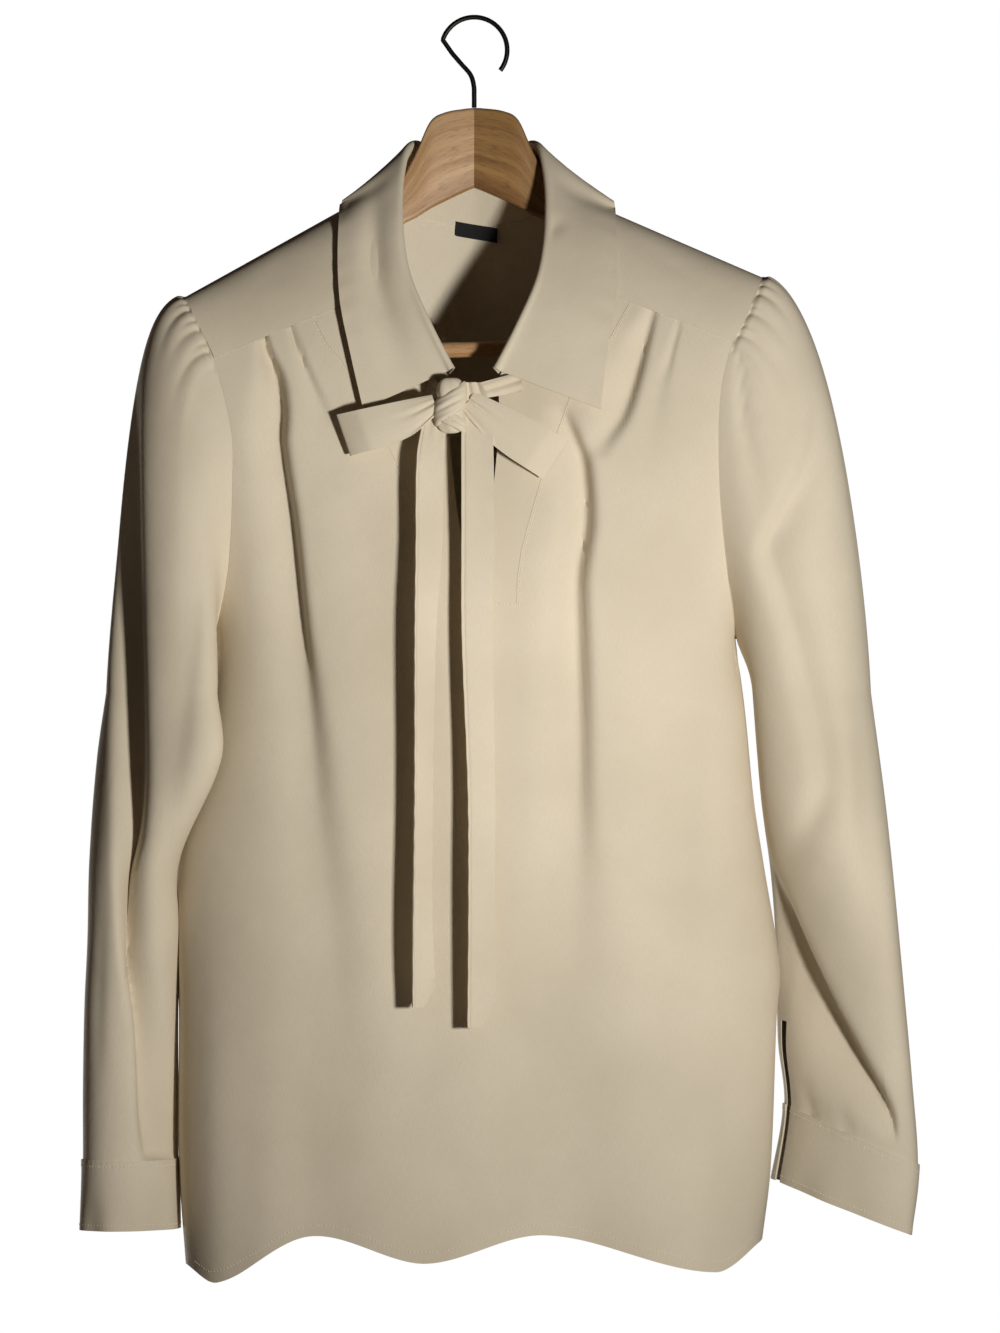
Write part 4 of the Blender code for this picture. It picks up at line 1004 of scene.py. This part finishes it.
def smoothed(grid, times):
    """The grid with each inner point moved to the mean of its neighbours, a few times."""
    grid = grid.copy()
    for _ in range(times):
        grid[1:-1, 1:-1] = (grid[1:-1, 1:-1] * 2 + grid[:-2, 1:-1] + grid[2:, 1:-1]
                            + grid[1:-1, :-2] + grid[1:-1, 2:]) / 6
    return grid


def dents_at(place, fall):
    """Depth of the collar's hollows at a place along it and a share of its fall."""
    total = 0.0
    for dent in DENTS:
        across = (place - dent.place + dent.drift * fall) / dent.width
        total = total + dent.depth * np.exp(-across**2) * np.exp(-((fall - dent.level) / dent.reach)**2)
    return total


collar_points, collar_places = collar_grid()
collar_points = smoothed(collar_points, 3)
fall_share = np.clip((np.arange(collar_points.shape[0]) - STAND_STEPS) / FALL_STEPS, 0, 1)[:, None]
pucker = 0.4 * np.sin(collar_places * 108 + 2 * np.sin(collar_places * 17))
pucker = pucker * (0.6 + 0.4 * np.sin(collar_places * 23 + 1))
pucker = pucker[None, :] * np.exp(-((1 - fall_share) / 0.26)**2)
hollow = dents_at(collar_places[None, :], fall_share)
collar_points = pressed(collar_points, (pucker + hollow) * (fall_share > 0), collar_points - COLLAR_CENTRE)
collar = shell("collar_cloth", collar_points, CREPE, thickness=COLLAR_LAYERS,
               outward=collar_points - COLLAR_CENTRE)
print("collar", len(collar.data.polygons), "faces")

# %% [markdown]
# ## The bow
#
# The tie is a narrow tube of crepe, turned right side out and pressed flat. It comes from under
# the collar on both sides, crosses in a knot, makes two short loops and ends in two long tails
# with slanting tips. Each stretch is its own shell, as wide as the pressed tube.

# %% Bow
KNOT = np.array([-15.0, -83.0, -255.0])
KNOT_SIZE = np.array([11.0, 7.5, 18.0])
TIE_LAYERS = 1.1
TIE_ROOM = 12.0
TIE_BACK_Y = KNOT[1] + KNOT_SIZE[1] - 0.05
TIP_RISE = 14.0
TOP_LIFT = {False: 2.0, True: 7.0}      # how far forward each tail leaves the knot, the right one over it
LOOP_SINK = 5.0          # how far each loop's end leans back to the front
BowRow = namedtuple("BowRow", "t x z half")
LOOPS = {
    "bow_loop_left": (BowRow(0.0, -25.0, -254, 6), BowRow(0.35, -46, -264, 12), BowRow(1.0, -84, -274, 14)),
    "bow_loop_right": (BowRow(0.0, -3.5, -252, 7), BowRow(0.35, 19, -269, 13), BowRow(1.0, 53, -290, 15)),
}
TailRow = namedtuple("TailRow", "z x half turn")
TAILS = {
    "tie_tail_left": (TailRow(-252, -22.5, 5.5, 0), TailRow(-270, -26, 8, -10),
                      TailRow(-292, -28.5, 9.5, -24), TailRow(-345, -29, 9.5, -26),
                      TailRow(-398, -31, 8.5, -36), TailRow(-500, -32, 7.8, -42),
                      TailRow(-590, -33, 7.8, -38), TailRow(-642, -32, 8, -20)),
    "tie_tail_right": (TailRow(-240, -1.5, 6, 0), TailRow(-250, 0.5, 8.5, 0), TailRow(-264, 2, 10, 0),
                       TailRow(-330, 2.5, 10.5, -6), TailRow(-400, 2.2, 10.2, -14), TailRow(-500, 5, 9.6, -24),
                       TailRow(-560, 5, 9.4, -26), TailRow(-655, 5, 9.6, -16)),
}
TieRow = namedtuple("TieRow", "t x z half")
TIE_NECK = {-1: (TieRow(0, -30, -240, 6), TieRow(1, -16, -249, 4.5)),
            1: (TieRow(0, 31, -239, 6.5), TieRow(1, -10, -248, 4.5))}


def loop_grid(table):
    """A band that leaves the knot behind, turns at its end and comes back in front."""
    x_at, z_at, half_at = (curve(table, "t", name) for name in ("x", "z", "half"))
    run = np.array([x_at(1) - x_at(0), z_at(1) - z_at(0)])
    up = np.array([-run[1], 0, run[0]]) / np.linalg.norm(run)
    up = up if up[2] > 0 else -up
    turn = np.linspace(0, math.pi, 90)[:, None]
    t = 1 - np.abs(np.cos(turn))**1.4
    open_half = mix(1.5, 4.8, np.sin(math.pi * t * 0.55))
    layer = np.cos(turn) / np.maximum(np.abs(np.cos(turn)), 0.35)
    across = np.linspace(-1, 1, 26)[None, :]
    centre = np.stack([x_at(t), KNOT[1] + 1.0 + LOOP_SINK * t**2 + open_half * layer, z_at(t)], axis=-1)
    grid = centre + up * (half_at(t) * across)[..., None]
    near = np.exp(-(t / 0.3)**2)
    pleats = (1.1 * np.sin(across * 7.5 + 0.8) + 0.5 * np.sin(across * 13)) * near
    cup = 1.2 * across**2 * smooth_step(t / 0.4)
    grid[..., 1] += np.where(turn < math.pi / 2, -1, 1) * (pleats * 0.8 + cup) * np.abs(np.cos(turn))
    return grid


def tail_grid(table):
    """Hanging end of the tie, turned about its length as it falls."""
    x_at, half_at, turn_at = (curve(table, "z", name) for name in ("x", "half", "turn"))
    z = np.linspace(table[0].z, table[-1].z, 200)
    angle = np.radians(turn_at(z))
    clear = np.min([front_y(x_at(z) + shift, z) for shift in (-12, 0, 12)], axis=0)
    y = np.minimum(clear - TIE_ROOM - half_at(z) * np.abs(np.sin(angle)), TIE_BACK_Y)
    y -= TOP_LIFT[table is TAILS["tie_tail_right"]] * (1 - smooth_step((-z - 262) / 110))
    across = np.sort(np.append(np.linspace(-1, 1, 17), (-0.9, -0.84, -0.8, -0.76, -0.7)))
    way = np.stack([np.cos(angle), -np.sin(angle), 0 * angle], axis=1)
    face = np.stack([-np.sin(angle), -np.cos(angle), 0 * angle], axis=1)
    centre = np.stack([x_at(z), y, z], axis=1)
    grid = centre[:, None] + way[:, None] * (half_at(z)[:, None] * across)[..., None]
    edge = np.abs(across)**3
    ripple = 0.22 * np.sin(z / 3.0 + 1.5 * np.sin(z / 21))[:, None] * edge
    cup = 0.5 * (across**2)[None, :] * np.sin(z / 60)[:, None]
    near = np.exp(-((z - table[0].z) / 16)**2)[:, None]
    groove = 0.45 * np.exp(-((across + 0.8) / 0.05)**2)[None, :]
    cup = cup + 0.9 * np.sin(across * 7 + 1)[None, :] * near - groove
    grid += face[:, None] * (ripple + cup)[..., None]
    tip = smooth_step((table[-1].z + 26 - z) / 26)[:, None] * np.maximum(across, 0)[None, :] * TIP_RISE
    grid[..., 2] += tip
    return grid


def neck_grid(side):
    """Stretch of the tie between the collar's edge and the knot."""
    x_at, z_at, half_at = (curve(TIE_NECK[side], "t", name) for name in ("x", "z", "half"))
    t = np.linspace(0, 1, 40)[:, None]
    across = np.linspace(-1, 1, 14)[None, :]
    x = x_at(t) + 0 * across
    z = z_at(t) + half_at(t) * across
    y = mix(front_y(x, z) - 1.5, TIE_BACK_Y, smooth_step(t))
    y = y + 0.5 * np.sin(across * 6 + t * 4)
    return np.stack([x, y, z], axis=-1)


def knot_core():
    """The middle of the knot: a lump that the last turn of the tie is wrapped round."""
    polar = np.linspace(0.02, math.pi - 0.02, 50)[:, None]
    angle = np.linspace(0, 2 * math.pi, 73)[None, :-1]
    waist = 1 - 0.2 * np.exp(-((polar - math.pi / 2) / 0.5)**2)
    ridge = 1 + 0.06 * np.cos(5 * angle + 2.2 * polar)
    reach = np.sin(polar)**0.6 * waist * ridge
    shape = np.stack([reach * np.cos(angle), reach * np.sin(angle), -np.cos(polar) + 0 * angle], axis=-1)
    return KNOT + shape * KNOT_SIZE * (0.94, 0.86, 1.0)


def knot_wrap(tilt, lift, half, swell):
    """A turn of the pressed tie round the knot, with pleats along it."""
    angle = np.linspace(0, 2 * math.pi, 97)[:, None]
    across = np.linspace(-1, 1, 30)[None, :]
    pleat = 0.5 * np.sin(across * 6.0 + 1.2 * np.sin(angle)) + 0.3 * np.sin(across * 12 + angle)
    bulge = swell * (1 - across**2)**0.5
    x = KNOT_SIZE[0] * (0.80 + 0.09 * bulge) * np.cos(angle) + 0 * across
    y = (KNOT_SIZE[1] * 0.62 + bulge * 1.5 + pleat) * np.sin(angle)
    z = lift + half * across + tilt * KNOT_SIZE[0] * np.cos(angle)
    return KNOT + np.stack([x, y, z], axis=-1)


def closed_mesh(name, made):
    """Mesh of a closed bmesh, with its faces turned outward."""
    bmesh.ops.recalc_face_normals(made, faces=made.faces)
    mesh = bpy.data.meshes.new(name)
    made.to_mesh(mesh)
    made.free()
    return mesh


def closed_lump(name, grid, finish):
    """Closed skin through a grid of rings, with a point at each end."""
    made = bmesh.new()
    rings = [[made.verts.new(Vector(p) * MM) for p in row] for row in grid]
    ends = [made.verts.new(Vector(grid[k].mean(axis=0)) * MM) for k in (0, -1)]
    uv = made.loops.layers.uv.new("UVMap")
    for lower, upper in zip(rings, rings[1:]):
        for i in range(len(lower)):
            k = (i + 1) % len(lower)
            made.faces.new((lower[i], lower[k], upper[k], upper[i]))
    for i in range(len(rings[0])):
        k = (i + 1) % len(rings[0])
        made.faces.new((rings[0][k], rings[0][i], ends[0]))
        made.faces.new((rings[-1][i], rings[-1][k], ends[1]))
    for face in made.faces:
        for loop in face.loops:
            loop[uv].uv = (loop.vert.co.x * 1.6 + loop.vert.co.y, loop.vert.co.z)
    return finished(name, closed_mesh(name, made), finish)


bow = {}
for name, table in LOOPS.items():
    bow[name] = shell(name + "_cloth", loop_grid(table), CREPE, thickness=TIE_LAYERS, outward=(0, 0, 0.001))
for name, table in TAILS.items():
    bow[name] = shell(name + "_cloth", tail_grid(table), CREPE, thickness=TIE_LAYERS)
for side, word in ((-1, "left"), (1, "right")):
    bow[f"tie_neck_{word}"] = shell(f"tie_neck_{word}_cloth", neck_grid(side), CREPE,
                                    thickness=TIE_LAYERS)
knot_parts = [closed_lump("tie_knot_cloth", knot_core(), CREPE)]
for tilt, lift, half, swell in ((0.55, 1.0, 8.5, 1.6), (-0.35, -9.0, 4.5, 0.9)):
    wrap = knot_wrap(tilt, lift, half, swell)
    away = wrap - KNOT - np.array([0, 0, lift])
    knot_parts.append(shell("knot_wrap", wrap, CREPE, thickness=0.8, outward=away))
with bpy.context.temp_override(active_object=knot_parts[0], selected_editable_objects=knot_parts):
    bpy.ops.object.join()
bow["tie_knot"] = knot_parts[0]
print("bow", sorted(bow))

# %% [markdown]
# ## Neck label
#
# A small plain dark label is sewn to the back neck seam, and curls a little at its free edge.

# %% Label
LABEL_TOP, LABEL_DROP, LABEL_SLANT = -131.0, 9.5, 4.6
LABEL_LEFT, LABEL_RIGHT = -12.0, 15.0
label_x = np.linspace(LABEL_LEFT, LABEL_RIGHT, 28)[None, :]
label_z = np.linspace(LABEL_TOP, LABEL_TOP - LABEL_DROP, 14)[:, None]
label_drop = (LABEL_TOP - label_z) / LABEL_DROP
label_z = label_z - LABEL_SLANT * (label_x - LABEL_LEFT) / (LABEL_RIGHT - LABEL_LEFT)
label_y = back_y(label_x, label_z) - 1.4 - 1.6 * label_drop - 0.5 * np.sin(label_x / 6) * label_drop
label_grid = np.stack([label_x + 0 * label_z, label_y, label_z + 0 * label_x], axis=-1)
label = shell("neck_label_cloth", label_grid, LABEL_FINISH, thickness=0.4)
print("label", len(label.data.polygons), "faces")

# %% [markdown]
# ## Hanger
#
# Two oak planks meet in a mitre at the middle. Their outline swells at the neck and thins to the
# shoulder, and all edges are eased. A section swept along a table of heights gives that, with the
# UV map along the arm so that the grain follows it. The hook is bent wire and the bar a dowel.

# %% Hanger
ARM_THICK, ARM_EASE, ARM_END_X, TILT = 11.0, 2.6, 177.0, 0.023
BAR_RADIUS, BAR_Z, BAR_END_X = 5.0, -217.0, 152.2
WIRE_RADIUS, HOOK_RADIUS = 1.6, 20.0
ArmRow = namedtuple("ArmRow", "x top bottom")
ARM = (ArmRow(0.02, -58, -110), ArmRow(5, -58.3, -112), ArmRow(20, -61, -119), ArmRow(29, -67, -123.5),
       ArmRow(38, -87, -129), ArmRow(46, -103, -133), ArmRow(50, -115, -137),
       ArmRow(56, -120, -141), ArmRow(75, -125, -153), ArmRow(100, -137.5, -171),
       ArmRow(128, -151.5, -190), ArmRow(152.6, -164.5, -205), ArmRow(153, -164.7, -226),
       ArmRow(168, -172.5, -227), ArmRow(ARM_END_X, -178.5, -222))


def arm_y(x):
    """Middle of the arms: straight at the mitre, then under the shoulder ridge."""
    return mix(-0.2 * np.abs(x), shoulder_y(x), smooth_step((np.abs(x) - 25) / 30))


def swept(name, rings, finish):
    """Closed solid through rings of points, with flat ends and a UV map in metres."""
    made = bmesh.new()
    loops = [[made.verts.new(Vector(p) * MM) for p in ring] for ring in rings]
    uv = made.loops.layers.uv.new("UVMap")
    along = np.concatenate([[0], np.cumsum(np.linalg.norm(np.diff(rings.mean(axis=1), axis=0), axis=1))])
    round_it = np.linalg.norm(np.roll(rings, -1, axis=1) - rings, axis=2).mean(axis=0)
    across = np.concatenate([[0], np.cumsum(round_it)])
    count = rings.shape[1]
    for j in range(len(rings) - 1):
        for i in range(count):
            k = (i + 1) % count
            face = made.faces.new((loops[j][i], loops[j][k], loops[j + 1][k], loops[j + 1][i]))
            spots = ((j, i), (j, i + 1), (j + 1, i + 1), (j + 1, i))
            for loop, (b, a) in zip(face.loops, spots):
                loop[uv].uv = (along[b] * MM, across[a] * MM)
    for ring in (loops[0][::-1], loops[-1]):
        face = made.faces.new(ring)
        for loop in face.loops:
            loop[uv].uv = (loop.vert.co.y, loop.vert.co.z)
    return finished(name, closed_mesh(name, made), finish, sharp=40)


def arm_rings(side):
    top_at, bottom_at = curve(ARM, "x", "top"), curve(ARM, "x", "bottom")
    xs = np.concatenate([np.linspace(0.02, 60, 50), np.linspace(60, 152.4, 30)[1:], [152.7, 153.2],
                         np.linspace(155, ARM_END_X, 8)])
    corner = np.linspace(0, math.pi / 2, 6)
    ease, half = ARM_EASE, ARM_THICK / 2
    rings = []
    for x in xs:
        top, bottom = (float(at(x)) + TILT * side * x for at in (top_at, bottom_at))
        ring = []
        for start, (y, z) in enumerate(((half - ease, top - ease), (-half + ease, top - ease),
                                        (-half + ease, bottom + ease), (half - ease, bottom + ease))):
            for angle in corner + start * math.pi / 2:
                ring.append((side * x, float(arm_y(x)) + y + ease * math.cos(angle),
                             z + ease * math.sin(angle)))
        rings.append(ring)
    return np.array(rings)


def tube_rings(path, radius, sides):
    path = np.array(path, float)
    ahead = np.gradient(path, axis=0)
    deep = np.array([0.0, 1.0, 0.0])
    across = np.cross(deep, ahead)
    across /= np.linalg.norm(across, axis=1, keepdims=True)
    turn = np.linspace(0, 2 * math.pi, sides + 1)[:-1]
    return (path[:, None] + (across[:, None] * np.cos(turn)[None, :, None]
                             + deep * np.sin(turn)[None, :, None]) * radius)


HookRow = namedtuple("HookRow", "t x z")
HOOK_STEM = (HookRow(0, 0, -57.6), HookRow(1, 0, -50), HookRow(2, -0.3, -43), HookRow(3, -2.5, -36),
             HookRow(4, -8.5, -29), HookRow(5, -14.5, -22))
steps = np.linspace(0, 5, 40)
stem = np.stack([curve(HOOK_STEM, "t", "x")(steps), 0 * steps, curve(HOOK_STEM, "t", "z")(steps)], axis=1)
arc = np.radians(np.linspace(162, -38, 60))
hook_path = np.concatenate([stem, np.stack([np.cos(arc) * (HOOK_RADIUS + WIRE_RADIUS), 0 * arc,
                                            np.sin(arc) * (HOOK_RADIUS + WIRE_RADIUS) - HOOK_RADIUS], axis=1)])
hook = swept("hanger_hook_wire", tube_rings(hook_path, WIRE_RADIUS, 16), WIRE_FINISH)
arm_left = swept("hanger_arm_left_oak", arm_rings(-1), OAK[-1])
arm_right = swept("hanger_arm_right_oak", arm_rings(1), OAK[1])
bar_x = np.linspace(-BAR_END_X, BAR_END_X, 30)
bar_path = np.stack([bar_x, 0 * bar_x + float(arm_y(BAR_END_X)), BAR_Z + TILT * bar_x], axis=1)
bar = swept("hanger_bar_oak", tube_rings(bar_path, BAR_RADIUS, 32), OAK[-1])
print("hanger", [len(o.data.polygons) for o in (arm_left, arm_right, bar, hook)], "faces")

# %% [markdown]
# ## Stitches
#
# The facing, the hems, the cuffs and the neck seam are sewn with a lockstitch. It shows as a row
# of short thread beads. Geometry Nodes repeat one bead along each sewn line, because that keeps
# them evenly apart round bends. A line in a bump map would be cheaper, but a thread that stands
# on the cloth is what catches the light here.

# %% Stitch tree
STITCH = 2.5                # mm from one stitch to the next
BEAD = (1.5, 0.8, 1.0)      # mm, one stitch: length, width and height


def stitch_tree():
    """Geometry Nodes that lay one bead of thread at each step along a line."""
    tree = bpy.data.node_groups.new("lockstitch", "GeometryNodeTree")
    ask = tree.interface.new_socket
    ask("Line", in_out="INPUT", socket_type="NodeSocketGeometry")
    sockets = {name: ask(name, in_out="INPUT", socket_type="NodeSocket" + kind).identifier
               for name, kind in (("Pitch", "Float"), ("Bead", "Vector"), ("Unevenness", "Float"),
                                  ("Seed", "Int"), ("Thread", "Material"))}
    ask("Stitches", in_out="OUTPUT", socket_type="NodeSocketGeometry")
    given = node(tree, "NodeGroupInput").outputs
    line = node(tree, "GeometryNodeMeshToCurve", {"Mesh": given["Line"]})
    steps = node(tree, "GeometryNodeCurveToPoints",
                 {"Curve": line.outputs["Curve"], "Length": given["Pitch"]}, mode="LENGTH")
    along = node(tree, "FunctionNodeAlignRotationToVector", {"Vector": steps.outputs["Tangent"]}, axis="X")
    low = node(tree, "ShaderNodeMath", {0: 1.0, 1: given["Unevenness"]}, operation="SUBTRACT")
    pull = node(tree, "FunctionNodeRandomValue", {2: low.outputs[0], 3: 1.0, 8: given["Seed"]},
                data_type="FLOAT")
    size = node(tree, "ShaderNodeVectorMath", {0: given["Bead"], "Scale": pull.outputs[1]},
                operation="SCALE")
    bead = node(tree, "GeometryNodeMeshUVSphere", {"Segments": 6, "Rings": 4, "Radius": 0.5})
    laid = node(tree, "GeometryNodeInstanceOnPoints", {
        "Points": steps.outputs["Points"], "Instance": bead.outputs["Mesh"],
        "Rotation": along.outputs["Rotation"], "Scale": size.outputs[0]})
    real = node(tree, "GeometryNodeRealizeInstances", {"Geometry": laid.outputs["Instances"]})
    sewn = node(tree, "GeometryNodeSetMaterial", {"Geometry": real.outputs["Geometry"],
                                                  "Material": given["Thread"]})
    node(tree, "NodeGroupOutput", {"Stitches": sewn.outputs["Geometry"]})
    return tree, sockets


STITCH_TREE, STITCH_INPUTS = stitch_tree()


# %% Lines on the cloth
def skin_of(piece):
    mesh = piece.data
    return BVHTree.FromPolygons([v.co for v in mesh.vertices], [tuple(p.vertices) for p in mesh.polygons])


def seen_line(skin, places, start, way):
    """Where level lines from the given height before or behind the cloth meet it."""
    dense = [mix(np.array(a), np.array(b), t)
             for a, b in zip(places, places[1:]) for t in np.linspace(0, 1, 12)]
    hits = [skin.ray_cast(Vector((x, start, z)) * MM, Vector((0, way, 0)))[0] for x, z in dense]
    return [hit for hit in hits if hit is not None]


def ring_line(skin, row, out):
    """The skin's nearest points to a row of the grid that is moved outward."""
    return [skin.find_nearest(Vector(point) * MM)[0] for point in row + out]


def sew(name, lines, seed, pitch=STITCH, bead=BEAD, finish=THREAD_FINISH):
    """One piece with a row of stitches, or of what else is given, along each line."""
    places, edges = [], []
    for line in lines:
        spaced = [line[0]]
        for point in line[1:]:
            if (point - spaced[-1]).length > 0.4 * MM:
                spaced.append(point)
        first = len(places)
        places += spaced
        edges += [(k, k + 1) for k in range(first, len(places) - 1)]
    mesh = bpy.data.meshes.new(name)
    mesh.from_pydata(places, edges, [])
    piece = placed(name, mesh)
    nodes = piece.modifiers.new("lockstitch", "NODES")
    nodes.node_group = STITCH_TREE
    for asked, value in (("Pitch", pitch * MM), ("Bead", [v * MM for v in bead]), ("Unevenness", 0.25),
                         ("Seed", seed), ("Thread", finish)):
        nodes[STITCH_INPUTS[asked]] = value
    ready = bpy.context.evaluated_depsgraph_get()
    sewn = bpy.data.meshes.new_from_object(piece.evaluated_get(ready))
    piece.modifiers.clear()
    piece.data = sewn
    print(name, len(sewn.polygons), "faces")
    return piece


# Lines of the facing's stitches on the front, seen from before it
FACING_LEFT = ((-103.4, -200.4), (-96.9, -213.4), (-86.5, -225.7), (-70, -256), (-55.9, -282.3),
               (-51.4, -291.4), (-40.3, -319.3), (-33, -350), (-28.5, -383))
FACING_RIGHT = ((102.7, -187.4), (87.1, -215.3), (74, -232), (64.4, -247.8), (54.6, -273.8),
                (44.9, -303.1), (37.7, -327.8), (32.5, -347.3), (29.8, -365), (29.3, -383))
HEM_SEWN = 7.0           # mm from the hem's edge to its stitches
CUFF_SEWN = 3.0          # mm from the cuff's edges
hem_places = np.linspace(-181, 181, 120)
front_skin, back_skin = skin_of(front), skin_of(back)
before, behind = -220, 200      # mm, where the lines that look for the cloth start
front_lines = [seen_line(front_skin, FACING_LEFT, before, 1),
               seen_line(front_skin, FACING_RIGHT, before, 1),
               seen_line(front_skin, (FACING_LEFT[-1], FACING_RIGHT[-1]), before, 1),
               seen_line(front_skin, [(x, float(HEM_FRONT_Z(x)) + HEM_SEWN) for x in hem_places], before, 1)]
back_lines = [seen_line(back_skin, [(x, float(HEM_BACK_Z(x)) + HEM_SEWN) for x in hem_places], behind, -1),
              seen_line(back_skin, ((-41.6, -132.2), (-13, -133.2), (15, -133.2), (26, -132.0)), -20, 1)]
front_stitches = sew("front_stitches", front_lines, 3)
# The facing's turned edge shows through as a thin ridge beside its stitches
ridge_lines = [seen_line(front_skin, [(x + shift, z) for x, z in line], before, 1)
               for line, shift in ((FACING_LEFT, 1.5), (FACING_RIGHT, -1.5))]
facing_edge = sew("facing_edge_ridge", ridge_lines, 11, pitch=0.8, bead=(1.8, 0.8, 0.9), finish=CREPE)
back_stitches = sew("back_stitches", back_lines, 5)
cuff_stitches = {}
for side, word, piece, points in ((-1, "left", cuff_left, cuff_left_points),
                                  (1, "right", cuff_right, cuff_right_points)):
    middle = points.mean(axis=(0, 1))
    out = points - points.mean(axis=1, keepdims=True)
    out = out / np.linalg.norm(out, axis=-1, keepdims=True) * 2
    drop = np.abs(points[:, 0, 2] - points[0, 0, 2])
    rows = [int(np.argmin(np.abs(drop - CUFF_SEWN))), int(np.argmin(np.abs(drop - drop[-1] + CUFF_SEWN)))]
    skin = skin_of(piece)
    cuff_stitches[side] = sew(f"cuff_{word}_stitches", [ring_line(skin, points[k], out[k]) for k in rows],
                              7 + side)

# %% [markdown]
# ## What each piece stands for
#
# Every piece rides on the one body and stands for its imported solid, which is hidden.

# %% Ride and replace
def stand_for(piece, solid):
    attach(piece, "root")
    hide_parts(solid)


CLOTH_NODES = {
    front: "front", back: "back", sleeve_left: "sleeve_left", sleeve_right: "sleeve_right",
    cuff_left: "cuff_left", cuff_right: "cuff_right", collar: "collar",
    **{piece: solid for solid, piece in bow.items()},
}
for piece, solid in CLOTH_NODES.items():
    stand_for(piece, solid)
stand_for(label, "neck_label")
for piece, solid, slot in ((arm_left, "hanger_arm_left", "oak"), (arm_right, "hanger_arm_right", "oak"),
                           (bar, "hanger_bar", "oak"), (hook, "hanger_hook", "wire")):
    stand_for(piece, solid)

for piece in (front_stitches, facing_edge, back_stitches, *cuff_stitches.values()):
    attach(piece, "root")
